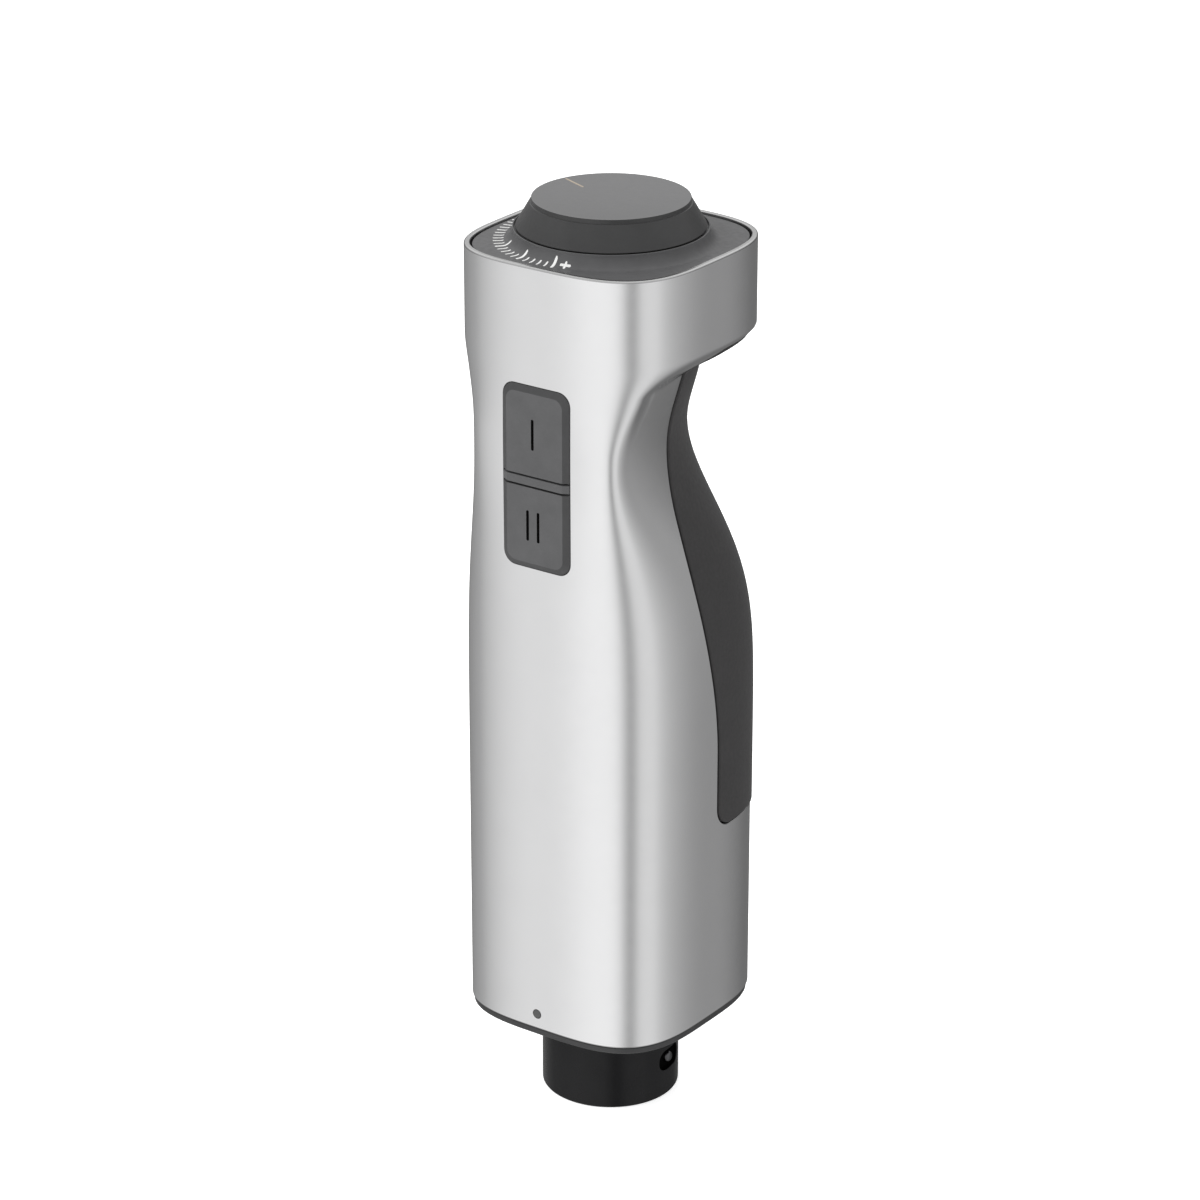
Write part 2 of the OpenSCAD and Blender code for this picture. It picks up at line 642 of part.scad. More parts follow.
module speed_dial() {
    top_r = dial_top_d / 2;
    foot_r = dial_foot_d / 2;
    color([0.36, 0.36, 0.37]) translate([0, 0, dial_z]) difference() {
        rotate_extrude() polygon(concat([[0, 0], [foot_r, 0], [top_r + 0.55, dial_h - 1], [top_r, dial_h]],
            [for (i = [1:6]) let (k = 1 - i / 6) [top_r * k * 0.97, dial_h - 0.8 * (1 - k * k)]]));
        translate([0, 0, -1]) difference() {
            cylinder(r = foot_r - 1.8, h = 3.4);
            translate([0, 0, -1]) cylinder(r = 5.5, h = 6);
        }
        rotate([0, 0, pointer_angle]) translate([pointer_r, -pointer_w / 2 - 0.05, dial_h - 1])
            cube([pointer_len + 0.2, pointer_w + 0.1, 3]);
    }
    color([0.36, 0.36, 0.37]) translate([0, 0, dial_z - 7]) difference() {
        cylinder(r = 5.5, h = 7.1);
        translate([0, 0, -1]) cylinder(r = pot_shaft_r, h = 12);
    }
}
module dial_pointer() {
    color([0.86, 0.79, 0.66]) translate([0, 0, dial_z]) rotate([0, 0, pointer_angle])
        translate([pointer_r, -pointer_w / 2, dial_h - 0.95]) cube([pointer_len, pointer_w, 0.7]);
}
module potentiometer() {
    color([0.35, 0.36, 0.38]) translate([0, 0, pot_z - 8]) difference() {
        union() {
            cylinder(r = 8.5, h = 8);
            cylinder(r = 3.5, h = 12.5);
        }
        translate([0, 0, 3]) cylinder(r = pot_shaft_r + fit, h = 12);
    }
}
module potentiometer_nut() {
    color([0.72, 0.7, 0.6]) translate([0, 0, pot_z + 2]) difference() {
        cylinder(r = 6, h = 2, $fn = 6);
        translate([0, 0, -1]) cylinder(r = 3.5, h = 4);
    }
}
module potentiometer_shaft() {
    color([0.75, 0.75, 0.74]) translate([0, 0, pot_z - 4.5])
        cylinder(r = pot_shaft_r, h = dial_z - pot_z + 4.4);
}

// ---- small fittings ----
module alignment_dot() {
    color([0.36, 0.36, 0.36]) translate([dot_x, front_y - 0.05, dot_z]) rotate([-90, 0, 0])
        cylinder(r = 1.2, h = 1.5, $fn = 32);
}
module charging_socket() {
    color([0.08, 0.08, 0.08]) translate([0, body_r - 9.5, shell_z + 17]) rotate([-90, 0, 0]) difference() {
        union() {
            cylinder(r = 4.1, h = 9.3);
            cylinder(r = 5, h = 7.2);
        }
        translate([0, 0, 1]) cylinder(r = 2.75, h = 10);
    }
}
module charging_pin() {
    color([0.75, 0.7, 0.5]) translate([0, body_r - 8.5, shell_z + 17]) rotate([-90, 0, 0])
        cylinder(r = 0.8, h = 7.5, $fn = 32);
}

body_shell();
base_ring();
coupling_spigot();
spigot_gasket();
lock_pin_left();
lock_pin_right();
lock_spring_left();
lock_spring_right();
drive_coupling();
motor_shaft();
shaft_seal();
lower_bearing();
upper_bearing();
motor_can();
motor_magnets();
rotor_core();
commutator();
brush_holders();
motor_end_cap();
cooling_fan();
motor_cradle();
battery_cells();
battery_holder();
control_board();
heat_sink();
switch_bodies();
switch_plunger_one();
switch_plunger_two();
button_frame();
button_seal();
button_one();
button_two();
button_spring_one();
button_spring_two();
button_mark_one();
button_mark_two();
grip_panel();
top_plate();
scale_marks();
speed_dial();
dial_pointer();
potentiometer();
potentiometer_shaft();
potentiometer_nut();
alignment_dot();
charging_socket();
charging_pin();
frame_screws();
board_screws();
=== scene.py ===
import json
import math

import bmesh
import bpy
import numpy as np
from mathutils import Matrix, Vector
from mathutils.geometry import delaunay_2d_cdt


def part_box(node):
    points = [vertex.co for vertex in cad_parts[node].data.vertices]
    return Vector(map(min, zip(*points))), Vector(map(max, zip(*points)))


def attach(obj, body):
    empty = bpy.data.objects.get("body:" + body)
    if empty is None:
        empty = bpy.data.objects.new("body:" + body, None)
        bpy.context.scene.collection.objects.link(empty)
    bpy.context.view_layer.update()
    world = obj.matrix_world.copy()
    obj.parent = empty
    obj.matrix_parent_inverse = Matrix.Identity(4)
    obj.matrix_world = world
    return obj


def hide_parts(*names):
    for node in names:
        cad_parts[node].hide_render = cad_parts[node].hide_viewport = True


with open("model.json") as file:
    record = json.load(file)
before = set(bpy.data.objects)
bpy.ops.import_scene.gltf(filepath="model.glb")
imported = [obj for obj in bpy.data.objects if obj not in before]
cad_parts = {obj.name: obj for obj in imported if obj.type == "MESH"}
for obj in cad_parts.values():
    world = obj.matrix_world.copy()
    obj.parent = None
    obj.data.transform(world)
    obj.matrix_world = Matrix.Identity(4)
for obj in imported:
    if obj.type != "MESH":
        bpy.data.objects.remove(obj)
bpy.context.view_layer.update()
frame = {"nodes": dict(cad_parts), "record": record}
MM = 0.001                    # shapes are worked out in millimetres, meshes are in metres


# ---- camera: a long lens to the right of the front and above, horizon level ----
def add_camera():
    azimuth = math.radians(35.38)
    yaw = math.radians(0.155)
    pitch = math.radians(22.291)
    reach = 1056.0 * MM
    height = 573.5 * MM
    data = bpy.data.cameras.new("camera")
    data.lens = 130.95
    data.sensor_width = 36.0
    data.clip_end = 50.0
    camera = bpy.data.objects.new("camera", data)
    camera.location = (reach * math.sin(azimuth), -reach * math.cos(azimuth), height)
    camera.rotation_euler = (math.pi / 2 - pitch, 0.0, azimuth + yaw)
    bpy.context.scene.collection.objects.link(camera)
    bpy.context.scene.camera = camera


add_camera()


# ---- sizes in millimetres, taken from the frame where it holds them ----
def span(node):
    low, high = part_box(node)
    return np.array(low) / MM, np.array(high) / MM


shell_low, shell_high = span("body_shell")
ring_low, ring_high = span("base_ring")
dial_low, dial_high = span("speed_dial")
one_low, one_high = span("button_one")
two_low, two_high = span("button_two")
socket_low, socket_high = span("charging_socket")
dot_low, dot_high = span("alignment_dot")
pin_low, pin_high = span("lock_pin_right")

BODY_R = shell_high[0]
SHELL_Z = shell_low[2]
RIM_Z = shell_high[2]
WAIST_Z = SHELL_Z + 162.0
FRONT_Y = -BODY_R
SHEET = 1.6                   # thickness of the shell's metal
SPIGOT_R = 18.5
SPIGOT_TOP = span("coupling_spigot")[1][2]
DIAL_Z = RIM_Z + 3.0          # foot of the dial

# form of the shell: a rounded square that draws in to a waist under the head
SQUARE_N = 3.44               # exponent of the square section
WAIST_W = 22.75               # half width of the waist
WAIST_MID = -24.2             # depth at which the waist is widest
WAIST_REAR = 23.5
WAIST_FRONT_N = 4.25
WAIST_REAR_N = 2.0
SWELL_Z = WAIST_Z - 123.3     # where the drawing in starts
SWELL_POWER = 5.8
LIP_Z = WAIST_Z + 18.0        # where the throat ends and the head starts to lean out
HEAD_Z = WAIST_Z + 26.7       # from here up the section is the full square
THROAT_H = 21.0
THROAT_RELIEF = 0.225
FRONT_FADE_Z = WAIST_Z + 2.0
SIDE_FROM = 0.276             # sines of the angles between which the rear's rise
SIDE_TO = -0.95               # fades into the front's

# opening for the grip panel, seen from the side
NOTCH_Z = SHELL_Z + 54.0      # its foot
NOTCH_Y = 2.6
NOTCH_R = 6.0
NOTCH_BOW = 9.7               # how far its front edge bows towards the front
NOTCH_BOW_Z = NOTCH_Z + 22.0
NOTCH_BOW_H = 64.0
NOTCH_BACK = 2.4              # how far the edge comes back above the bow
NOTCH_BACK_Z = NOTCH_Z + 88.0
NOTCH_BACK_H = 22.0
NOTCH_BEND_Z = WAIST_Z + 6.0
NOTCH_TOP_Z = HEAD_Z - 1.7
NOTCH_DEPTH = 11.7


def smooth(u):
    c = np.clip(u, 0.0, 1.0)
    return c * c * (3.0 - 2.0 * c)


def spow(v, p):
    return np.sign(v) * np.abs(v) ** p


def form(a, z):
    """Points of the shell's surface at angle a about the axis and height z."""
    c = spow(np.cos(a), SQUARE_N / 2)
    s = spow(np.sin(a), SQUARE_N / 2)
    size = np.hypot(c, s)
    c, s = c / size, s / size
    n = np.where(s < 0, WAIST_FRONT_N, WAIST_REAR_N)
    depth = np.where(s < 0, BODY_R + WAIST_MID, WAIST_REAR - WAIST_MID)
    waist_x = WAIST_W * spow(c, 2 / n)
    waist_y = WAIST_MID + depth * spow(s, 2 / n)
    square_x = BODY_R * spow(c, 2 / SQUARE_N)
    square_y = BODY_R * spow(s, 2 / SQUARE_N)
    below = smooth((z - SWELL_Z) / (WAIST_Z - SWELL_Z)) ** SWELL_POWER
    front = 1 - smooth((z - FRONT_FADE_Z) / (HEAD_Z - FRONT_FADE_Z))
    rear = 1 - THROAT_RELIEF * smooth((z - WAIST_Z) / THROAT_H)
    rear = rear * (1 - smooth((z - LIP_Z) / (HEAD_Z - LIP_Z)))
    share = smooth((SIDE_FROM - s) / (SIDE_FROM - SIDE_TO))
    m = np.where(z < WAIST_Z, below, rear * (1 - share) + front * share)
    x = square_x * (1 - m) + waist_x * m
    y = square_y * (1 - m) + waist_y * m
    return np.stack([x, y, z + 0.0 * x], axis=-1)


def unit(v):
    return v / np.maximum(np.linalg.norm(v, axis=-1, keepdims=True), 1e-12)


def tangents(surface, a, z):
    da, dz = 1e-3, 0.02
    along_a = (surface(a + da, z) - surface(a - da, z)) / (2 * da)
    along_z = (surface(a, z + dz) - surface(a, z - dz)) / (2 * dz)
    return along_a, along_z


def normals(surface, a, z):
    along_a, along_z = tangents(surface, a, z)
    return unit(np.cross(along_a, along_z))


# ---- mesh building ----
def about_axis(points, degrees):
    """Points turned about the vertical axis."""
    points = np.asarray(points, float)
    c, s = math.cos(math.radians(degrees)), math.sin(math.radians(degrees))
    x, y = points[..., 0], points[..., 1]
    return np.stack([x * c - y * s, x * s + y * c, points[..., 2]], axis=-1)


class Build:
    """Collects points with their own smooth normals and faces, then makes one object,
    turned about the vertical axis if asked."""

    def __init__(self, turn=0.0):
        self.turn = turn
        self.points = []
        self.normals = []
        self.faces = []
        self.slots = []
        self.count = 0

    def add(self, points, directions):
        points = about_axis(points, self.turn)
        self.points.append(points)
        self.normals.append(about_axis(directions, self.turn))
        first = self.count
        self.count += len(points)
        return np.arange(first, self.count)

    def face(self, corners, slot=0):
        self.faces.append([int(c) for c in corners])
        self.slots.append(slot)

    def strip(self, low, high, slot=0):
        """Quads between two closed rings of the same length."""
        total = len(low)
        for i in range(total):
            j = (i + 1) % total
            self.face((low[i], low[j], high[j], high[i]), slot)

    def fan(self, ring, centre, direction, slot=0):
        """Closes a ring with triangles to a point."""
        tip = self.add([centre], [direction])[0]
        for i in range(len(ring)):
            self.face((ring[i], ring[(i + 1) % len(ring)], tip), slot)

    def piece(self, name, materials):
        points = np.concatenate(self.points) * MM
        directions = np.concatenate(self.normals)
        corners = np.array([face if len(face) == 4 else face + face[2:] for face in self.faces])
        spot = points[corners]
        facing = np.cross(spot[:, 2] - spot[:, 0], spot[:, 3] - spot[:, 1])
        wrong = np.sum(facing * directions[corners].sum(axis=1), axis=-1) < 0
        for i in np.flatnonzero(wrong):
            self.faces[i].reverse()
        mesh = bpy.data.meshes.new(name)
        mesh.from_pydata(points.tolist(), [], self.faces)
        for material in materials:
            mesh.materials.append(material)
        mesh.polygons.foreach_set("material_index", self.slots)
        mesh.update()
        mesh.shade_smooth()
        mesh.normals_split_custom_set_from_vertices(directions.tolist())
        return link(bpy.data.objects.new(name, mesh))


def link(piece):
    bpy.context.scene.collection.objects.link(piece)
    return piece


def inside(x, y, loop):
    """Which points lie inside a closed loop."""
    result = np.zeros(x.shape, bool)
    for (x0, y0), (x1, y1) in zip(loop, np.roll(loop, -1, axis=0)):
        crosses = (y0 > y) != (y1 > y)
        reach = x0 + (y - y0) * (x1 - x0) / (y1 - y0 if y1 != y0 else 1e-12)
        result ^= crosses & (x < reach)
    return result


def near(x, y, loop, gap):
    """Which points lie closer than gap to the line of a closed loop."""
    result = np.zeros(x.shape, bool)
    for start, end in zip(loop, np.roll(loop, -1, axis=0)):
        edge = end - start
        size = max(edge @ edge, 1e-12)
        t = np.clip(((x - start[0]) * edge[0] + (y - start[1]) * edge[1]) / size, 0, 1)
        result |= np.hypot(x - start[0] - t * edge[0], y - start[1] - t * edge[1]) < gap
    return result


def mesh_domain(columns, rows, loops, keep_inside=False, gap=0.45):
    """Triangles over a grid of (width, height) points with closed loops cut out of it,
    or with only the inside of the first loop kept."""
    x, y = (grid.ravel() for grid in np.meshgrid(columns, rows))
    keep = np.ones(x.shape, bool)
    for loop in loops:
        keep &= ~near(x, y, loop, gap)
        keep &= inside(x, y, loop) if keep_inside else ~inside(x, y, loop)
    flat = np.stack([x[keep], y[keep]], axis=-1)
    edges = []
    rings = []
    start = len(flat)
    for loop in loops:
        ring = np.arange(start, start + len(loop))
        edges += list(zip(ring.tolist(), np.roll(ring, -1).tolist()))
        rings.append(ring)
        start += len(loop)
    flat = np.concatenate([flat] + list(loops))
    result = delaunay_2d_cdt([Vector(p) for p in flat], edges, [], 0, 1e-7, True)
    source = np.array([ids[0] for ids in result[3]])
    triangles = source[np.array(result[2])]
    centre = flat[triangles].mean(axis=1)
    wanted = np.ones(len(triangles), bool)
    for loop in loops:
        within = inside(centre[:, 0], centre[:, 1], loop)
        wanted &= within if keep_inside else ~within
    return flat, triangles[wanted], rings


def roll(build, last, points, out, aside, radius, slot=0, first=1):
    """A quarter round from facing out to facing aside, after the ring last. Returns its end."""
    steps = 5
    for k in range(first, steps + 1):
        turn = math.pi / 2 * k / steps
        spot = points + aside * radius * math.sin(turn) - out * radius * (1 - math.cos(turn))
        ring = build.add(spot, unit(out * math.cos(turn) + aside * math.sin(turn)))
        build.strip(last, ring, slot)
        last = ring
    return last


def lip(build, outer, inner, points, out, aside, radius, depth, slot):
    """A rounded edge and a wall, from the ring outer to the ring inner behind it."""
    last = roll(build, outer, points, out, aside, radius, slot)
    ring = build.add(points + aside * radius - out * depth, aside)
    build.strip(last, ring, slot)
    build.strip(ring, inner, slot)


def sideways(points, out, away_from):
    """Unit directions in the surface, square to a closed ring and away from a point."""
    along = unit(np.roll(points, -1, axis=0) - np.roll(points, 1, axis=0))
    aside = unit(np.cross(along, out))
    flip = np.sum(aside * (points - away_from), axis=-1).sum() < 0
    return -aside if flip else aside


def resample(line, step):
    """Evenly spaced points on a closed line."""
    closed = np.concatenate([line, line[:1]])
    run = np.concatenate([[0.0], np.cumsum(np.linalg.norm(np.diff(closed, axis=0), axis=1))])
    count = max(8, int(round(run[-1] / step)))
    place = np.arange(count) * run[-1] / count
    return np.stack([np.interp(place, run, closed[:, k]) for k in range(closed.shape[1])], axis=-1)


def find_angle(value, z, axis, low, high):
    """Angle between low and high at which the surface has this x or y at height z."""
    low = np.full(z.shape, low)
    high = np.full(z.shape, high)
    for _ in range(44):
        middle = (low + high) / 2
        below = form(middle, z)[..., axis] < value
        low = np.where(below, middle, low)
        high = np.where(below, high, middle)
    return (low + high) / 2


def shift(surface, loop, distance, hole_centre):
    """The (angle, height) loop moved sideways over the surface, away from the centre if
    distance is positive."""
    a, z = loop[:, 0], loop[:, 1]
    points = surface(a, z)
    along_a, along_z = tangents(surface, a, z)
    out = unit(np.cross(along_a, along_z))
    move = sideways(points, out, hole_centre) * distance
    moved = loop.copy()
    for i in range(len(loop)):
        basis = np.stack([along_a[i], along_z[i]], axis=-1)
        moved[i] += np.linalg.lstsq(basis, move[i], rcond=None)[0]
    return moved


def round_outline(width, height, radii, steps=8):
    """Rounded rectangle about its centre; radii run from the upper right, anticlockwise."""
    corners = ((1, 1), (-1, 1), (-1, -1), (1, -1))
    points = []
    for k, ((sx, sy), r) in enumerate(zip(corners, radii)):
        for i in range(steps + 1):
            turn = math.pi / 2 * (k + i / steps)
            points.append((sx * (width / 2 - r) + r * math.cos(turn),
                           sy * (height / 2 - r) + r * math.sin(turn)))
    return np.array(points)


def rounded_path(points, radii, steps=4):
    """Points along a path with round corners, and the direction that each faces, for a path
    that keeps the material on its right. Both ends stay sharp."""
    points = [np.array(point, float) for point in points]
    ways = [unit(after - before) for before, after in zip(points, points[1:])]
    path = [points[0]]
    facing = [np.array([-ways[0][1], ways[0][0]])]
    for here, back, ahead, radius in zip(points[1:], ways, ways[1:], radii[1:]):
        ends = [np.array([-way[1], way[0]]) for way in (back, ahead)]
        half = math.acos(np.clip(-back @ ahead, -1, 1)) / 2
        sweep = math.pi - 2 * half
        centre = here + unit(ahead - back) * radius / math.sin(half)
        first = here - back * radius / math.tan(half) - centre
        last = here + ahead * radius / math.tan(half) - centre
        for k in range(steps + 1):
            share = np.sin(np.array([1 - k / steps, k / steps]) * sweep) / math.sin(sweep)
            path.append(centre + first * share[0] + last * share[1])
            facing.append(ends[0] * share[0] + ends[1] * share[1])
    path.append(points[-1])
    facing.append(np.array([-ways[-1][1], ways[-1][0]]))
    return path, facing


def bend(r, steps=5):
    """(inset, drop) pairs round a convex edge of radius r, from the flat to the wall."""
    turns = [math.pi / 2 * k / steps for k in range(steps + 1)]
    return [(r * (1 - math.sin(t)), r * (1 - math.cos(t))) for t in turns]


def finish_mesh(name, points, faces, material, sharp=34.0):
    """An object from plain points and faces, welded, with smooth shading up to a sharp angle."""
    mesh = bpy.data.meshes.new(name)
    mesh.from_pydata((np.asarray(points) * MM).tolist(), [], faces)
    work = bmesh.new()
    work.from_mesh(mesh)
    bmesh.ops.remove_doubles(work, verts=work.verts, dist=1e-7)
    bmesh.ops.recalc_face_normals(work, faces=work.faces)
    work.to_mesh(mesh)
    work.free()
    mesh.materials.append(material)
    mesh.shade_smooth()
    mesh.set_sharp_from_angle(angle=math.radians(sharp))
    piece = link(bpy.data.objects.new(name, mesh))
    even = piece.modifiers.new("even_normals", "WEIGHTED_NORMAL")
    even.keep_sharp = True
    return piece


def ring_faces(rings, count, closed):
    """Quads between rings of count points, numbered one ring after another."""
    faces = []
    last = rings if closed else rings - 1
    for r in range(last):
        s = (r + 1) % rings
        for i in range(count):
            j = (i + 1) % count
            faces.append((r * count + i, r * count + j, s * count + j, s * count + i))
    return faces


def stack(rings, closed=False):
    """Points and faces of a solid through rings of points, capped unless it closes on itself."""
    count = len(rings[0])
    faces = ring_faces(len(rings), count, closed)
    if not closed:
        faces.append(tuple(range(count)))
        faces.append(tuple(range((len(rings) - 1) * count, len(rings) * count)))
    return np.concatenate(rings), faces


def lathe(profile, segments=144):
    """Points and faces of a turned solid about Z from a closed (radius, height) profile."""
    turn = np.arange(segments) * 2 * math.pi / segments
    rings = [np.stack([r * np.cos(turn), r * np.sin(turn), np.full(segments, z)], axis=-1)
             for r, z in profile]
    return stack(rings, closed=True)


def merge(*parts):
    """Several (points, faces) solids as one."""
    points, faces, start = [], [], 0
    for some, more in parts:
        points.append(np.asarray(some))
        faces += [tuple(c + start for c in face) for face in more]
        start += len(some)
    return np.concatenate(points), faces


def place(solid, axis, at):
    """The solid with its own +Z turned to an axis of the frame, then moved."""
    points, faces = solid
    x, y, z = points.T
    turned = {"X": (z, y, -x), "Y": (x, z, -y), "-Y": (x, -z, y)}[axis]
    return np.stack(turned, axis=-1) + np.array(at), faces


def soft_block(size, centre, edge=0.4, corner=0.8):
    """A block with round vertical corners and rounded rims."""
    width, depth, height = size
    low_rim = bend(edge, 4)
    high_rim = [(inset, height - rise) for inset, rise in reversed(low_rim)]
    solid = []
    for inset, rise in low_rim + high_rim:
        radii = [max(corner - inset, 0.05)] * 4
        line = round_outline(width - 2 * inset, depth - 2 * inset, radii, 5)
        solid.append(np.column_stack([line, np.full(len(line), rise - height / 2)]))
    points, faces = stack(solid)
    return points + np.array(centre), faces


# ---- materials ----
class Finish:
    """A Principled material with helpers for the nodes that give it its detail."""

    def __init__(self, name, colour, rough, metallic=0.0):
        self.material = bpy.data.materials.new(name)
        self.material.use_nodes = True
        self.tree = self.material.node_tree
        self.shader = self.tree.nodes["Principled BSDF"]
        self.colour = colour
        self.set(Base_Color=(*colour, 1.0), Roughness=rough, Metallic=metallic)
        self.place = self.node("ShaderNodeTexCoord").outputs["Object"]
        self.last_bump = None

    def node(self, kind, **values):
        made = self.tree.nodes.new(kind)
        for key, value in values.items():
            setattr(made, key, value)
        return made

    def wire(self, source, target):
        self.tree.links.new(source, target)

    def noise(self, size, detail=3.0, stretch=(1.0, 1.0, 1.0)):
        """Noise with features of about size millimetres, longer where stretch is small."""
        mapping = self.node("ShaderNodeMapping")
        mapping.inputs["Scale"].default_value = stretch
        texture = self.node("ShaderNodeTexNoise")
        texture.inputs["Scale"].default_value = 1.0 / (size * MM)
        texture.inputs["Detail"].default_value = detail
        self.wire(self.place, mapping.inputs["Vector"])
        self.wire(mapping.outputs["Vector"], texture.inputs["Vector"])
        return texture.outputs["Fac"]

    def cells(self, size):
        texture = self.node("ShaderNodeTexVoronoi")
        texture.inputs["Scale"].default_value = 1.0 / (size * MM)
        self.wire(self.place, texture.inputs["Vector"])
        return texture.outputs["Distance"]

    def bands(self, size, axis, distortion=0.0):
        texture = self.node("ShaderNodeTexWave", wave_type="BANDS", bands_direction=axis)
        texture.inputs["Scale"].default_value = 1.0 / (size * MM) / 3.18
        texture.inputs["Distortion"].default_value = distortion
        self.wire(self.place, texture.inputs["Vector"])
        return texture.outputs["Fac"]

    def spread(self, source, low, high):
        """The middle of a texture's range spread over low to high."""
        ranged = self.node("ShaderNodeMapRange")
        ends = {"From Min": 0.3, "From Max": 0.7, "To Min": low, "To Max": high}
        for socket, value in ends.items():
            ranged.inputs[socket].default_value = value
        self.wire(source, ranged.inputs["Value"])
        return ranged.outputs["Result"]

    def tone(self, source, dark, light):
        """Base colour that varies with source between two shares of the colour."""
        mix = self.node("ShaderNodeMix", data_type="RGBA")
        for socket, share in zip((mix.inputs[6], mix.inputs[7]), (dark, light)):
            socket.default_value = (*(min(1.0, c * share) for c in self.colour), 1.0)
        self.wire(self.spread(source, 0.0, 1.0), mix.inputs[0])
        self.wire(mix.outputs[2], self.shader.inputs["Base Color"])

    def polish(self, source, low, high):
        self.wire(self.spread(source, low, high), self.shader.inputs["Roughness"])

    def relief(self, source, depth):
        """Bumps of about depth millimetres, added to any before them."""
        bump = self.node("ShaderNodeBump")
        bump.inputs["Distance"].default_value = depth * MM
        bump.inputs["Strength"].default_value = 1.0
        self.wire(source, bump.inputs["Height"])
        if self.last_bump:
            self.wire(self.last_bump, bump.inputs["Normal"])
        self.last_bump = bump.outputs["Normal"]
        self.wire(self.last_bump, self.shader.inputs["Normal"])

    def varied(self, tone, polish, *reliefs):
        """The material, once it has its tone, its polish and its reliefs."""
        self.tone(*tone)
        self.polish(*polish)
        for relief in reliefs:
            self.relief(*relief)
        return self.material

    def set(self, **values):
        """Even values of the shader, by the name of their socket."""
        for name, value in values.items():
            self.shader.inputs[name.replace("_", " ")].default_value = value


def blasted_aluminium():
    """Fine bead-blasted sheet under a clear anodised skin."""
    make = Finish("blasted_aluminium", (0.86, 0.86, 0.865), 0.24, 1.0)
    tone = (make.noise(9.0), 0.985, 1.0)
    return make.varied(tone, (make.noise(2.2, 4.0), 0.22, 0.26), (make.noise(0.22, 2.0), 0.006))


def shaded_edge_aluminium():
    """The turned edge of the sheet, a little smoother than the blasted skin, in a darker copy of its
    colour: painted shade on the rim and the edges of the openings.
    """
    make = Finish("shaded_edge_aluminium", (0.5, 0.5, 0.5), 0.24, 1.0)
    streak = make.noise(0.3, 2.0, (1.0, 1.0, 0.3))
    return make.varied((make.noise(3.0), 0.95, 1.0), (streak, 0.17, 0.25), (streak, 0.002))


def moulded(name, colour, rough, grain=0.25, depth=0.006):
    """Spark-eroded plastic: an even fine grain, slightly uneven gloss."""
    make = Finish(name, colour, rough)
    polish = (make.noise(1.6), rough - 0.05, rough + 0.05)
    reliefs = ((make.cells(grain), depth), (make.noise(14.0, 2.0), 0.004))
    return make.varied((make.noise(6.0), 0.94, 1.06), polish, *reliefs)


def soft_touch(name, colour, rough=0.62, cloud=0.07):
    """Rubbery paint or elastomer with a dusty sheen."""
    make = Finish(name, colour, rough)
    make.set(Sheen_Weight=0.05, Sheen_Roughness=0.45)
    tone = (make.noise(5.0, 4.0), 1 - cloud, 1 + cloud)
    polish = (make.noise(1.2), rough - 0.7 * cloud, rough + 0.8 * cloud)
    return make.varied(tone, polish, (make.noise(0.16, 2.0), 0.006))


def gloss_black():
    """Polished black plastic with faint moulding ripple."""
    make = Finish("gloss_black", (0.006, 0.006, 0.0065), 0.11)
    make.set(Specular_IOR_Level=0.2)
    polish = (make.noise(3.0, 4.0), 0.08, 0.15)
    reliefs = ((make.noise(6.0, 1.0), 0.006), (make.noise(0.4, 2.0), 0.0006))
    return make.varied((make.noise(8.0, 2.0), 0.85, 1.15), polish, *reliefs)


def printed(name, colour, rough=0.55, shine=0.15):
    """Pad-printed ink with slightly uneven cover."""
    make = Finish(name, colour, rough)
    make.set(Specular_IOR_Level=shine)
    polish = (make.noise(0.5), rough - 0.06, rough + 0.08)
    return make.varied((make.noise(0.35, 4.0), 0.9, 1.03), polish, (make.noise(0.12, 2.0), 0.003))


def turned_metal(name, colour, rough=0.25):
    """Machined metal with fine rings of tool marks."""
    make = Finish(name, colour, rough, 1.0)
    polish = (make.noise(0.8, 4.0, (1.0, 1.0, 4.0)), rough - 0.06, rough + 0.08)
    return make.varied((make.noise(4.0), 0.92, 1.04), polish, (make.bands(0.22, "Z", 0.4), 0.0015))


def laminated_iron():
    make = Finish("laminated_iron", (0.32, 0.3, 0.29), 0.42, 1.0)
    sheets = make.bands(0.5, "Z")
    return make.varied((sheets, 0.55, 1.1), (make.noise(1.5), 0.36, 0.5), (sheets, 0.04))


def bar_copper():
    make = Finish("bar_copper", (0.85, 0.45, 0.28), 0.28, 1.0)
    polish = (make.noise(1.0, 4.0), 0.2, 0.38)
    return make.varied((make.noise(2.5, 5.0), 0.75, 1.05), polish, (make.noise(0.4), 0.003))


def cell_wrap():
    """Shrink film over a cell, with faint wrinkles."""
    make = Finish("cell_wrap", (0.05, 0.2, 0.38), 0.3)
    wrinkles = make.noise(5.0, 3.0, (1.0, 1.0, 0.25))
    return make.varied((make.noise(7.0, 2.0), 0.9, 1.1), (make.noise(2.0), 0.24, 0.36), (wrinkles, 0.05))


def board_green():
    """Solder mask over copper tracks."""
    make = Finish("board_green", (0.02, 0.12, 0.055), 0.35)
    tracks = make.bands(1.6, "X", 2.0)
    return make.varied((tracks, 0.8, 1.35), (make.noise(1.0), 0.3, 0.42), (tracks, 0.02))


def magnet_ferrite():
    make = Finish("magnet_ferrite", (0.06, 0.06, 0.065), 0.55)
    polish = (make.noise(0.8), 0.48, 0.62)
    return make.varied((make.noise(1.2, 5.0), 0.75, 1.3), polish, (make.noise(0.35, 4.0), 0.02))


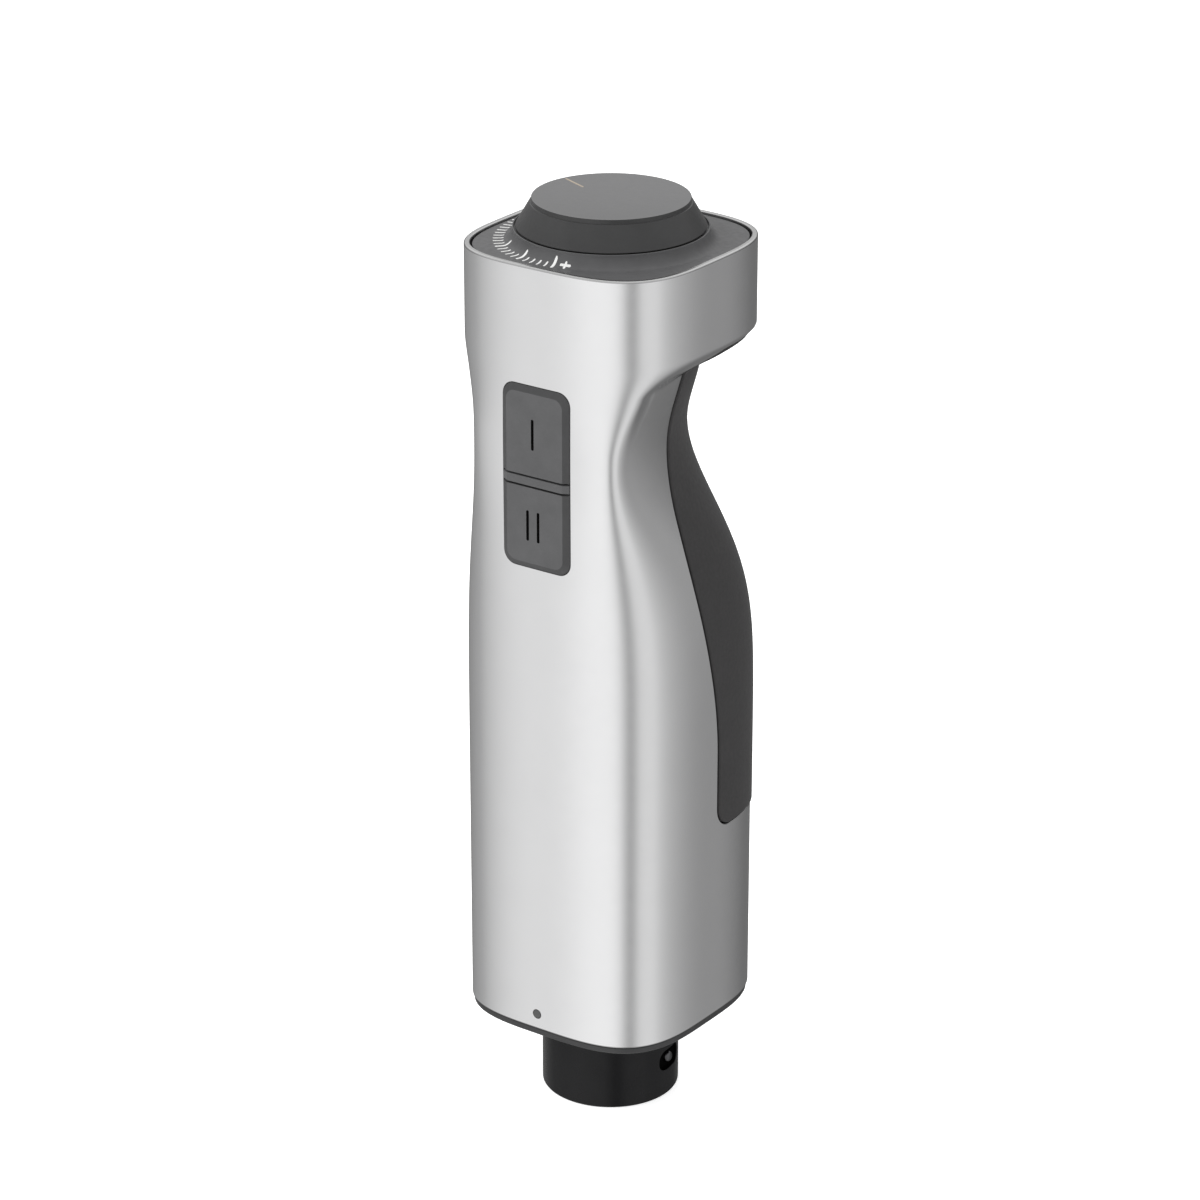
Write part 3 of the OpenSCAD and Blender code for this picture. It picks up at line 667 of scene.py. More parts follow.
MATERIALS = {
    "shell_aluminium": blasted_aluminium(),
    # painted shade: a darker copy of the aluminium for the shell's rounded edges
    "shell_shaded_edge": shaded_edge_aluminium(),
    "gloss_black": gloss_black(),
    "ring_black": moulded("ring_black", (0.026, 0.026, 0.027), 0.4),
    "grip_grey": soft_touch("grip_grey", (0.0175, 0.0165, 0.017)),
    "plate_grey": soft_touch("plate_grey", (0.071, 0.071, 0.073), 0.46),
    "dial_grey": soft_touch("dial_grey", (0.022, 0.022, 0.0225), 0.34),
    # painted sheen: a lighter copy of the dial's grey, for the top of its hollow
    "dial_lit_top": soft_touch("dial_lit_top", (0.105, 0.105, 0.107), 0.4, 0.02),
    "button_grey": soft_touch("button_grey", (0.066, 0.066, 0.068), 0.5),
    # painted shade: a darker copy of the keys' grey, for their bevels
    "button_shaded_bevel": soft_touch("button_shaded_bevel", (0.034, 0.034, 0.035), 0.5),
    "print_white": printed("print_white", (0.8, 0.8, 0.79)),
    "pointer_cream": printed("pointer_cream", (0.4, 0.34, 0.27), 0.4),
    # also the dead black inside the spigot's lock windows, which is painted shade
    "mark_black": printed("mark_black", (0.002, 0.002, 0.002), 0.8, 0.0),
    "dot_grey": moulded("dot_grey", (0.06, 0.06, 0.06), 0.45),
    "steel": turned_metal("steel", (0.62, 0.62, 0.63)),
    # painted shade: steel darkened for the pins that sit in the lock windows
    "pin_shaded_steel": turned_metal("pin_shaded_steel", (0.12, 0.12, 0.125), 0.3),
    "spring_steel": turned_metal("spring_steel", (0.5, 0.5, 0.52), 0.32),
    "bronze": turned_metal("bronze", (0.62, 0.42, 0.22), 0.35),
    "copper": bar_copper(),
    "winding": laminated_iron(),
    "magnet": magnet_ferrite(),
    "contact_brass": turned_metal("contact_brass", (0.78, 0.62, 0.32), 0.24),
    "moulding_dark": moulded("moulding_dark", (0.022, 0.022, 0.024), 0.45, 0.4, 0.01),
    "plunger_red": moulded("plunger_red", (0.45, 0.03, 0.02), 0.4),
    "black_rubber": soft_touch("black_rubber", (0.02, 0.02, 0.021), 0.7),
    "cell_wrap": cell_wrap(),
    "board_green": board_green(),
    "sink_aluminium": turned_metal("sink_aluminium", (0.75, 0.75, 0.76), 0.3),
}


def dress_cad_nodes():
    """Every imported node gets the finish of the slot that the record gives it."""
    for part in frame["record"]["subparts"]:
        mesh = frame["nodes"][part["node"]].data
        mesh.materials.clear()
        mesh.materials.append(MATERIALS[part["material_slot"]])


dress_cad_nodes()


# ---- shell and grip panel: skins over the same form, with their openings cut out ----
SEAM = math.radians(-135.0)
AROUND = BODY_R               # millimetres of width that one radian stands for


def flat_loop(loop):
    """(angle, height) as (width, height), in millimetres."""
    return np.stack([loop[:, 0] * AROUND, loop[:, 1]], axis=-1)


def face_loop(outline, side=1):
    """(x, z) points on the front face as (angle, height), or on the rear face with side -1."""
    start, end = math.radians(-135), math.radians(-45)
    angle = find_angle(side * outline[:, 0], outline[:, 1], 0, start, end)
    return np.stack([angle + (math.pi if side < 0 else 0.0), outline[:, 1]], axis=-1)


def notch_front(z):
    bow = NOTCH_BOW * smooth((z - NOTCH_BOW_Z) / NOTCH_BOW_H)
    return NOTCH_Y - bow + NOTCH_BACK * smooth((z - NOTCH_BACK_Z) / NOTCH_BACK_H)


def notch_loop():
    """The opening for the grip panel: one side's edge, then the same edge mirrored."""
    arc = np.linspace(0, math.pi / 2, 17)
    straight_z = np.linspace(NOTCH_Z + NOTCH_R, NOTCH_BEND_Z, 110)[1:-1]
    low_y = NOTCH_Y + NOTCH_R * (1 - np.sin(arc))
    low_z = NOTCH_Z + NOTCH_R * (1 - np.cos(arc))
    top_y = notch_front(NOTCH_BEND_Z) + NOTCH_DEPTH * (1 - np.cos(arc))
    top_z = NOTCH_BEND_Z + (NOTCH_TOP_Z - NOTCH_BEND_Z) * np.sin(arc)
    y = np.concatenate([low_y, notch_front(straight_z), top_y])
    z = np.concatenate([low_z, straight_z, top_z])
    angle = find_angle(y, z, 1, math.radians(-60), math.radians(75))
    loop = np.stack([np.concatenate([angle, math.pi - angle[::-1]]),
                     np.concatenate([z, z[::-1]])], axis=-1)
    return np.stack(from_width(resample(flat_loop(loop), 0.7)), axis=-1)


def from_width(flat):
    return flat[:, 0] / AROUND, flat[:, 1]


def centre_of(loop):
    return form(loop[:, 0], loop[:, 1]).mean(axis=0)


def circle_outline(x, z, r, count):
    """A hole's outline in the front or rear face."""
    turn = np.arange(count) * 2 * math.pi / count
    return np.stack([x + r * np.cos(turn), z + r * np.sin(turn)], axis=-1)


BUTTON_W = one_high[0] - one_low[0]
BUTTONS_LOW = two_low[2]
BUTTONS_HIGH = one_high[2]
BUTTON_GAP = 0.3
WINDOW_GAP = 0.15
CORNER_R = 3.6
DOT_X = (dot_low[0] + dot_high[0]) / 2
DOT_Z = (dot_low[2] + dot_high[2]) / 2
SOCKET_Z = (socket_low[2] + socket_high[2]) / 2


def button_window():
    height = BUTTONS_HIGH - BUTTONS_LOW
    outline = round_outline(BUTTON_W + 2 * WINDOW_GAP, height + 2 * WINDOW_GAP, [CORNER_R] * 4, 10)
    return resample(outline, 0.8) + np.array([0.0, (BUTTONS_LOW + BUTTONS_HIGH) / 2])


def shell_rows():
    """Heights of the shell's rows of points, closer where the form bends."""
    levels = (SHELL_Z + 0.6, SWELL_Z, WAIST_Z - 60.0, WAIST_Z + 12.0, HEAD_Z + 0.5, RIM_Z - 0.5)
    counts = (11, 23, 49, 27, 13)
    rows = [np.linspace(low, high, count + 1)[:-1]
            for low, high, count in zip(levels, levels[1:], counts)]
    return np.concatenate(rows + [levels[-1:]])


def rim(build, outer, inner, points, out, up, slot):
    """The cut edge of the sheet: rounded outside and inside, flat between."""
    outer_r, inner_r = 0.5, 0.35
    last = roll(build, outer, points, out, up, outer_r, slot)
    back = points + up * outer_r - out * (SHEET - inner_r)
    last = roll(build, last, back, up, -out, inner_r, slot, 0)
    build.strip(last, inner, slot)


def skin(build, surface, flat, triangles, thickness, proud=0.0):
    """Both faces of a curved sheet. Returns its outer points with the directions that they
    face, and the numbers of its outer and inner points."""
    a, z = from_width(flat)
    out = normals(surface, a, z)
    points = surface(a, z) + out * proud
    outer = build.add(points, out)
    inner = build.add(points - out * thickness, -out)
    for tri in triangles:
        build.face(outer[tri])
        build.face(inner[tri[::-1]])
    return points, out, outer, inner


def close_seam(flat, triangles, columns, rows):
    """Joins the last column of points to the first. Returns the triangles and the lowest
    and highest rings of points."""
    right = np.isclose(flat[:, 0], columns[-1])
    left = np.flatnonzero(np.isclose(flat[:, 0], columns[0]))
    partner = {round(float(flat[i, 1]), 5): i for i in left}
    same = np.arange(len(flat))
    for i in np.flatnonzero(right):
        same[i] = partner[round(float(flat[i, 1]), 5)]
    ends = []
    for level in (rows[0], rows[-1]):
        ring = np.flatnonzero(np.isclose(flat[:, 1], level) & ~right)
        ends.append(ring[np.argsort(flat[ring, 0])])
    return same[triangles], ends[0], ends[1]


def full_columns(count=240):
    return (SEAM + np.arange(count + 1) * 2 * math.pi / count) * AROUND


def body_shell():
    """The aluminium shell, one sheet with its four openings."""
    columns, rows = full_columns(), shell_rows()
    window = face_loop(button_window())
    dot = face_loop(circle_outline(DOT_X, DOT_Z, 1.3, 32))
    socket = face_loop(circle_outline(0.0, SOCKET_Z, 4.25, 40), -1)
    openings = ((window, 0.08), (notch_loop(), 0.22), (dot, 0.1), (socket, 0.15))
    holes = [flat_loop(shift(form, hole, edge, centre_of(hole))) for hole, edge in openings]
    flat, triangles, rings = mesh_domain(columns, rows, holes)
    triangles, foot, head = close_seam(flat, triangles, columns, rows)
    build = Build()
    points, out, outer, inner = skin(build, form, flat, triangles, SHEET)
    # Slot 1, the rounded edges of the openings and of the rim, is a darker copy of the aluminium:
    # painted shade.
    for hole, (_, edge) in zip(rings, openings):
        aside = -sideways(points[hole], out[hole], points[hole].mean(axis=0))
        lip(build, outer[hole], inner[hole], points[hole], out[hole], aside, edge, SHEET, 1)
    for ring, up in ((head, 1.0), (foot, -1.0)):
        rim(build, outer[ring], inner[ring], points[ring], out[ring], np.array([0.0, 0.0, up]), 1)
    piece = build.piece("shell_skin", [MATERIALS["shell_aluminium"], MATERIALS["shell_shaded_edge"]])
    return settle(piece, "body", "shell_aluminium", "body_shell")


def settle(piece, body, slot, *nodes):
    """The piece rides on a body and stands for its CAD nodes, which it hides; its slot is not used."""
    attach(piece, body)
    if nodes:
        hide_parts(*nodes)
    return piece


def paint(piece, material, chosen):
    """Gives a second material to the faces that chosen picks."""
    piece.data.materials.append(material)
    for face in piece.data.polygons:
        if chosen(face):
            face.material_index = 1


def grip_panel():
    """The rubber inlay, crowned a little out of the shell, with a rolled edge."""
    edge, gap, proud, thickness = 0.55, 0.42, 0.45, 2.0
    opening = notch_loop()
    border = shift(form, opening, -(gap + edge), centre_of(opening))
    columns = np.arange(math.radians(-25), math.radians(205), math.radians(1.5)) * AROUND
    rows = np.arange(NOTCH_Z, NOTCH_TOP_Z, 1.3)
    flat, triangles, (loop,) = mesh_domain(columns, rows, [flat_loop(border)], keep_inside=True)
    build = Build()
    points, out, outer, inner = skin(build, form, flat, triangles, thickness, proud)
    aside = sideways(points[loop], out[loop], points[loop].mean(axis=0))
    lip(build, outer[loop], inner[loop], points[loop], out[loop], aside, edge, thickness, 0)
    piece = build.piece("grip_inlay", [MATERIALS["grip_grey"]])
    return settle(piece, "body", "grip_grey", "grip_panel")


# ---- foot: ring and spigot ----
def squircle(r, z, count=192):
    turn = np.arange(count) * 2 * math.pi / count
    c, s = np.cos(turn), np.sin(turn)
    size = (np.abs(c) ** SQUARE_N + np.abs(s) ** SQUARE_N) ** (-1 / SQUARE_N)
    return np.stack([r * size * c, r * size * s, np.full(count, z)], axis=-1)


def circle(r, z, count=192):
    turn = np.arange(count) * 2 * math.pi / count
    return np.stack([r * np.cos(turn), r * np.sin(turn), np.full(count, z)], axis=-1)


def base_ring():
    low, high, outer = ring_low[2], ring_high[2], ring_high[0]
    rings = [circle(SPIGOT_R + 0.1, low), circle(SPIGOT_R + 0.1, high)]
    rings += [squircle(outer - 0.2, high), squircle(outer, high - 0.2)]
    rings += [squircle(outer - inset, low + drop) for inset, drop in reversed(bend(0.8))]
    piece = finish_mesh("foot_ring", *stack(rings, closed=True), MATERIALS["ring_black"])
    return settle(piece, "body", "ring_black", "base_ring")


def tube(a, z):
    """The spigot's outer surface."""
    return np.stack([SPIGOT_R * np.cos(a), SPIGOT_R * np.sin(a), z + 0.0 * a], axis=-1)


LATCH_TURN = 7.0              # degrees that the lock windows stand round from the side
LATCH_Z = (pin_low[2] + pin_high[2]) / 2
PIN_R = 1.6
PIN_BACK = 14.6               # distance of the pin's inner end from the axis
PIN_LENGTH = 4.1
WALL_LOW = 0.8                # the spigot's straight outer wall
WALL_HIGH = SHELL_Z - 0.3
POCKET_DEEP = 1.4
POCKET_EDGE = 0.2
PIN_BORE_R = 1.72
PIN_BORE_DEEP = 7.2


def pocket_loops():
    """The two lock windows as (angle, height), grown by the rounding of their edges."""
    outline = resample(round_outline(10.0, 6.0, [2.7] * 4, 8), 0.6)
    loops = []
    for side in (0.0, math.pi):
        angle = np.arcsin(outline[:, 0] / SPIGOT_R) + side
        loop = np.stack([angle, outline[:, 1] + LATCH_Z], axis=-1)
        middle = tube(loop[:, 0], loop[:, 1]).mean(axis=0)
        loops.append(shift(tube, loop, POCKET_EDGE, middle))
    return loops


def cut_pocket(build, start, points, out, side):
    """A lock window: rounded edge, wall, flat floor and the bore that its pin slides in. Wall, floor and
    bore take slot 1, the dead black of the marks: painted shade.
    """
    into = np.array([-side, 0.0, 0.0])
    aside = -sideways(points, out, points.mean(axis=0))
    last = roll(build, start, points, out, aside, POCKET_EDGE)
    floor = points + aside * POCKET_EDGE
    floor[:, 0] = side * (SPIGOT_R - POCKET_DEEP)
    build.strip(last, build.add(floor, aside), 1)
    turn = np.arctan2(floor[:, 2] - LATCH_Z, floor[:, 1])
    spoke = np.stack([0 * turn, np.cos(turn), np.sin(turn)], axis=-1)
    bore = spoke * PIN_BORE_R + np.array([side * (SPIGOT_R - POCKET_DEEP), 0.0, LATCH_Z])
    facing = np.tile(-into, (len(floor), 1))
    floor_ring = build.add(floor, facing)
    build.strip(floor_ring, build.add(bore, facing), 1)
    bore_top = build.add(bore, -spoke)
    bore_end = build.add(bore + into * (PIN_BORE_DEEP - POCKET_DEEP), -spoke)
    build.strip(bore_top, bore_end, 1)
    build.fan(bore_end, (side * (SPIGOT_R - PIN_BORE_DEEP), 0.0, LATCH_Z), -into, 1)


def turn_inside(build, last, angle):
    """The turned rest of the spigot: foot, mouth, hub bore and the flange in the shell."""
    mouth_r, mouth_top, hub_r, flange_r = 15.0, 24.0, 6.0, 25.0
    flange_z = SHELL_Z + 0.2
    path = [(SPIGOT_R, WALL_LOW), (SPIGOT_R, 0.0), (mouth_r, 0.0), (mouth_r, mouth_top),
            (hub_r, mouth_top), (hub_r, SPIGOT_TOP), (flange_r, SPIGOT_TOP), (flange_r, flange_z),
            (SPIGOT_R, flange_z), (SPIGOT_R, WALL_HIGH)]
    radii = [0, 0.75, 0.6, 0.4, 0.3, 0.2, 0.3, 0.3, 0.1, 0]
    c, s = np.cos(angle), np.sin(angle)
    for (r, z), (nr, nz) in list(zip(*rounded_path(path, radii)))[1:-1]:
        ring = build.add(np.stack([r * c, r * s, np.full(len(c), z)], axis=-1),
                         np.stack([nr * c, nr * s, np.full(len(c), nz)], axis=-1))
        build.strip(last, ring)
        last = ring
    return last


def spigot():
    """The bayonet spigot: polished wall with two lock windows, and lugs that hold the pins."""
    columns, rows = full_columns(180), np.linspace(WALL_LOW, WALL_HIGH, 14)
    holes = [flat_loop(loop) for loop in pocket_loops()]
    flat, triangles, rings = mesh_domain(columns, rows, holes)
    triangles, foot, head = close_seam(flat, triangles, columns, rows)
    build = Build(LATCH_TURN)
    a, z = from_width(flat)
    out = normals(tube, a, z)
    points = tube(a, z)
    outer = build.add(points, out)
    for tri in triangles:
        build.face(outer[tri])
    for hole, side in zip(rings, (1.0, -1.0)):
        cut_pocket(build, outer[hole], points[hole], out[hole], side)
    last = turn_inside(build, outer[foot], a[foot])
    build.strip(last, outer[head])
    # Slot 1 is the dead black of the marks, painted shade inside the lock windows.
    piece = build.piece("spigot_body", [MATERIALS["gloss_black"], MATERIALS["mark_black"]])
    lugs = [soft_block((6.5, 6.5, 8.0), (side * 12.2, 0.0, LATCH_Z), 0.4, 0.8) for side in (-1, 1)]
    points, faces = merge(*lugs)
    points = about_axis(points, LATCH_TURN)
    settle(finish_mesh("spigot_lugs", points, faces, MATERIALS["gloss_black"]), "body", "gloss_black")
    return settle(piece, "body", "gloss_black", "coupling_spigot")


def lock_pin(name, node, body, degrees):
    """A steel pin with a domed tip that stands in its lock window, its steel darkened as painted shade
    of the window.
    """
    turns = np.linspace(0, math.pi / 2, 8)[:-1]
    dome = [(PIN_R * math.cos(t), PIN_LENGTH - 1.2 * (1 - math.sin(t))) for t in turns]
    profile = [(0.0, 0.0), (PIN_R - 0.1, 0.0), (PIN_R, 0.1)] + dome + [(0.0, PIN_LENGTH)]
    points, faces = place(lathe(profile, 48), "X", (PIN_BACK, 0.0, LATCH_Z))
    piece = finish_mesh(name, about_axis(points, degrees), faces, MATERIALS["pin_shaded_steel"])
    return settle(piece, body, "steel", node)


# ---- buttons ----
SKIRT = 2.1                   # how far a key reaches behind the front face
PROUD = 0.96                  # and how far it stands out of it
FLANK = ((0.0, -SKIRT), (0.0, -0.1), (0.04, 0.06), (0.14, 0.15), (1.5, 0.88), (1.6, 0.93),
         (1.72, PROUD))
SIDE_NIP = 0.12               # the most that a side without a bevel draws in
MARK_X = -0.5
MARK_APART = 1.65
SWITCH_Y = FRONT_Y + 3.8      # front of the switches
BOARD_Y = FRONT_Y + 7.9


def key(low, high, round_low, round_high, flank=FLANK):
    """A flat key in the front face: bevelled all round where round_* is set, plain where not."""
    rings = []
    for inset, rise in flank:
        nip = min(inset, SIDE_NIP)
        cuts = [inset if bevel else nip for bevel in (round_low, round_high)]
        radii = [CORNER_R - 0.6 * inset if bevel else 0.25 for bevel in (round_high, round_low)]
        radii = [radii[0], radii[0], radii[1], radii[1]]
        line = round_outline(BUTTON_W - 2 * inset, high - low - sum(cuts), radii)
        z = line[:, 1] + (low + cuts[0] + high - cuts[1]) / 2
        rings.append(np.stack([line[:, 0], np.full(len(line), FRONT_Y - rise), z], axis=-1))
    return stack(rings)


def stem(z):
    """The stem behind a key that works its switch."""
    start = FRONT_Y + SKIRT - 0.4
    length = SWITCH_Y - start
    line = [(0.0, 0.0), (1.8, 0.0), (1.8, length - 0.15), (1.65, length), (0.0, length)]
    return place(lathe(line, 40), "Y", (0.0, start, z))


def push_button(name, node, body, upper):
    low, high = span(node)
    solid = merge(key(low[2], high[2], not upper, upper), stem((low[2] + high[2]) / 2))
    piece = finish_mesh(name, *solid, MATERIALS["button_grey"])
    # The bevels take a darker copy of the key's grey: painted shade.
    front = (FRONT_Y - 0.05) * MM
    paint(piece, MATERIALS["button_shaded_bevel"],
          lambda face: face.center.y < front and face.normal.y > -0.96)
    return settle(piece, body, "button_grey", node)


def stroke(x, z, width, height):
    """An upright stroke with round ends, laid into the face of a key."""
    sink, lift, crown = 0.12, 0.03, 0.94
    face_y = FRONT_Y - PROUD
    line = round_outline(width, height, [width * 0.42] * 4, 4)
    levels = ((1.0, face_y + sink), (1.0, face_y - lift + 0.01), (crown, face_y - lift))
    rings = [np.stack([line[:, 0] * k + x, np.full(len(line), y), line[:, 1] + z], axis=-1)
             for k, y in levels]
    return stack(rings)


def button_mark(name, node, body, offsets):
    low, high = span(node)
    middle = (low[2] + high[2]) / 2
    strokes = [stroke(x, middle, 0.8, high[2] - low[2]) for x in offsets]
    piece = finish_mesh(name, *merge(*strokes), MATERIALS["mark_black"])
    return settle(piece, body, "mark_black", node)


def deck(low, high, holes, y):
    """A plate of blocks behind the front face, open where the keys' stems pass."""
    half, hole, thick, overlap = 13.0, 3.4, 1.2, 0.3
    side = half - hole
    blocks = [(x, side, low, high) for x in (-hole - side / 2, hole + side / 2)]
    ends = [low] + [z + k for z in holes for k in (-hole, hole)] + [high]
    blocks += [(0.0, 2 * (hole + overlap), z0, z1) for z0, z1 in zip(ends[::2], ends[1::2])]
    plates = []
    for x, width, z0, z1 in blocks:
        plate = soft_block((width, z1 - z0, thick), (0, 0, 0), 0.2, 0.4)
        plates.append(place(plate, "Y", (x, y + thick / 2, (z0 + z1) / 2)))
    return plates


def button_carrier():
    """The plate behind the buttons, with the fixed bar that shows between them."""
    deck_y = FRONT_Y + 3.3
    middle = (BUTTONS_LOW + BUTTONS_HIGH) / 2
    length = BUTTONS_HIGH - BUTTONS_LOW + 4.0
    bar_flank = ((0.0, -3.4),) + FLANK[1:]
    bar = key(two_high[2] + BUTTON_GAP, one_low[2] - BUTTON_GAP, False, False, bar_flank)
    stems = [(two_low[2] + two_high[2]) / 2, (one_low[2] + one_high[2]) / 2]
    plates = deck(middle - length / 2, middle + length / 2, stems, deck_y)
    rails = [soft_block((1.2, 1.6, length - 2.0), (x, deck_y, middle), 0.15, 0.3)
             for x in (-12.4, 12.4)]
    reach = BOARD_Y - deck_y
    post = lathe([(1.1, 0.0), (2.3, 0.0), (2.5, 0.2), (2.5, reach), (1.1, reach)], 40)
    spots = [(x, z) for x in (-11, 11) for z in (WAIST_Z - 29.0, WAIST_Z + 21.0)]
    posts = [place(post, "Y", (x, deck_y, z)) for x, z in spots]
    solid = merge(bar, *plates, *rails, *posts)
    piece = finish_mesh("button_carrier", *solid, MATERIALS["button_grey"])
    return settle(piece, "body", "button_grey", "button_frame")


# ---- top: plate, scale, dial ----
PLATE_Z = RIM_Z - 0.6
PLATE_R = BODY_R - SHEET - 0.25
COLLAR_R = dial_high[0] + 0.7
COLLAR_H = DIAL_Z - PLATE_Z
COLLAR_EDGE = 0.12
LIP_W = 0.35                  # the lip of the collar stands round the dial's foot
LIP_H = 0.7
BORE_R = 20.5
FILLET_R = 3.0


def plate_rise(r):
    """Height of the plate's surface over its flat, at distance r from the axis."""
    reach = np.clip(COLLAR_R + FILLET_R - r, 0.0, FILLET_R)
    tall = COLLAR_H - COLLAR_EDGE
    return tall * (1 - np.sqrt(1 - (reach / FILLET_R) ** 2))


def top_plate():
    """The plate under the dial, which sweeps up to a collar, and the cup for the potentiometer."""
    low = PLATE_Z - 8.0           # foot of the rim that stands in the shell
    wall = PLATE_R - 1.8
    rings = [squircle(wall, PLATE_Z - 2.0), squircle(wall, low), squircle(PLATE_R, low)]
    rings += [squircle(PLATE_R - inset, PLATE_Z - drop) for inset, drop in reversed(bend(0.2))]
    rings.append(circle(COLLAR_R + FILLET_R + 0.6, PLATE_Z))
    for turn in np.linspace(0, math.pi / 2, 17):
        r = COLLAR_R + FILLET_R * (1 - math.sin(turn))
        rings.append(circle(r, PLATE_Z + (COLLAR_H - COLLAR_EDGE) * (1 - math.cos(turn))))
    top = PLATE_Z + COLLAR_H
    rings += [circle(COLLAR_R - inset, top - drop) for inset, drop in reversed(bend(COLLAR_EDGE))][1:]
    inner, floor = COLLAR_R - LIP_W, top - LIP_H
    cup_r, cup_z, shaft_r = 11.5, PLATE_Z - 9.0, 3.6
    within = ((inner + 0.06, top), (inner, top - 0.06), (inner, floor), (BORE_R + 0.2, floor),
              (BORE_R, floor - 0.2), (BORE_R, PLATE_Z), (cup_r, PLATE_Z), (cup_r, cup_z + 2.0),
              (shaft_r, cup_z + 2.0), (shaft_r, cup_z), (cup_r + 1.5, cup_z),
              (cup_r + 1.5, PLATE_Z - 2.0))
    rings += [circle(r, z) for r, z in within]
    piece = finish_mesh("scale_plate", *stack(rings, closed=True), MATERIALS["plate_grey"])
    return settle(piece, "body", "plate_grey", "top_plate")


def radial_bar(degrees, stations, deep, lift, crown):
    """A low bar along a radius, through stations of (radius, half width, height)."""
    angle = math.radians(degrees)
    ahead = np.array([math.cos(angle), math.sin(angle), 0.0])
    aside = np.array([-ahead[1], ahead[0], 0.0])
    rings = []
    for r, half, z in stations:
        corners = ((-half, -deep), (half, -deep), (half, lift - 0.01), (half * crown, lift),
                   (-half * crown, lift), (-half, lift - 0.01))
        rings.append(np.array([ahead * r + aside * w + np.array([0, 0, z + h]) for w, h in corners]))
    return stack(rings)


def laid_bar(degrees, r0, r1, width, lift=0.05):
    """A printed bar that follows the plate from radius r0 to r1, with round ends."""
    end = width / 2
    stations = []
    for r in [r0, r0 + 0.4 * end, *np.linspace(r0 + end, r1 - end, 9), r1 - 0.4 * end, r1]:
        reach = min(1.0, min(r - r0, r1 - r) / end)
        half = end * math.sqrt(max(0.12, 1 - (1 - reach) ** 2))
        stations.append((r, half, PLATE_Z + float(plate_rise(r))))
    return radial_bar(degrees, stations, 0.1, lift, 0.93)


SCALE_START = -86.8           # degrees of the mark beside the plus
SCALE_STEP = 4.5
SCALE_COUNT = 43
LONG_MARKS = (0, 5, 10)
PLUS_ANGLE = -80.1
PLUS_R = 26.5


def scale_marks():
    """Marks round the dial, three of them long, that spread out into the corner, and a plus sign."""
    bars = []
    for i in range(SCALE_COUNT):
        major = i in LONG_MARKS
        out = float(smooth(i / LONG_MARKS[-1]))
        r0 = COLLAR_R + (0.2 + 0.45 * out if major else 1.2 + 0.9 * out)
        bars.append(laid_bar(SCALE_START - i * SCALE_STEP, r0, 28.2 + 1.8 * out, 0.75 if major else 0.5))
    inner_arm, outer_arm, side_arm = 0.8, 1.1, 1.25
    bars.append(laid_bar(PLUS_ANGLE, PLUS_R - inner_arm, PLUS_R + outer_arm, 0.6))
    step = math.degrees(side_arm / PLUS_R) / 6
    for k in range(-6, 7):
        bars.append(laid_bar(PLUS_ANGLE + k * step, PLUS_R - 0.3, PLUS_R + 0.3, 0.48, 0.056))
    piece = finish_mesh("scale_print", *merge(*bars), MATERIALS["print_white"])
    return settle(piece, "body", "print_white", "scale_marks")


DIAL_TOP = dial_high[2]
DIAL_TOP_R = 20.25
DIAL_FOOT_R = dial_high[0]
DISH_R = 0.97 * DIAL_TOP_R
DISH = 0.8                    # depth of the hollow in the dial's top


def dish(r):
    """Height of the dial's hollow top at distance r from its axis."""
    k = min(r / DISH_R, 1.0)
    return DIAL_TOP - DISH * (1 - k * k)


def speed_dial():
    """The dial: hollow top, cone side, and underneath a rim and the hub on the shaft."""
    rim_r, rim_z, hub_r, shaft_r = 22.6, DIAL_Z + 2.4, 5.5, 3.02
    hub_low = dial_low[2]
    hollow = [(r, dish(r)) for r in np.linspace(0.0, DISH_R, 12)]
    side = [hollow[-1], (DIAL_TOP_R, DIAL_TOP), (DIAL_TOP_R + 0.16, DIAL_TOP - 1.15),
            (DIAL_TOP_R + 0.42, DIAL_TOP - 1.2), (DIAL_FOOT_R, DIAL_Z), (rim_r, DIAL_Z), (rim_r, rim_z)]
    rounded = rounded_path(side, [0, 0.16, 0.04, 0.12, 0.2, 0.15, 0], 5)[0]
    under = [(hub_r, rim_z), (hub_r, hub_low + 0.2), (hub_r - 0.2, hub_low), (shaft_r, hub_low),
             (shaft_r, DIAL_Z), (0.0, DIAL_Z)]
    profile = hollow[:-1] + rounded + under
    piece = finish_mesh("dial_knob", *lathe(profile, 192), MATERIALS["dial_grey"], 40.0)
    # The top of the hollow takes a lighter copy of the dial's grey: painted sheen.
    floor_z = (DIAL_TOP - DISH - 0.1) * MM
    paint(piece, MATERIALS["dial_lit_top"],
          lambda face: face.normal.z > 0.9 and face.center.z > floor_z)
    return settle(piece, "dial", "dial_grey", "speed_dial")


def dial_pointer():
    """A cream strip let into the hollow top of the dial."""
    start, end, half, taper = 11.7, 19.3, 0.3, 0.7
    stations = [(r, half * (taper if r in (start, end) else 1.0), dish(r))
                for r in np.linspace(start, end, 12)]
    strip = radial_bar(162.5, stations, 0.3, 0.035, 0.9)
    piece = finish_mesh("pointer_strip", *strip, MATERIALS["pointer_cream"])
    return settle(piece, "dial", "pointer_cream", "dial_pointer")


# ---- small fittings ----
def alignment_dot():
    deep = dot_high[1] - dot_low[1]
    line = [(0.0, 0.0), (1.2, 0.0), (1.2, deep - 0.15), (1.12, deep - 0.04), (0.9, deep), (0.0, deep)]
    solid = place(lathe(line, 48), "-Y", (DOT_X, dot_high[1], DOT_Z))
    piece = finish_mesh("lock_dot", *solid, MATERIALS["dot_grey"])
    return settle(piece, "body", "dot_grey", "alignment_dot")


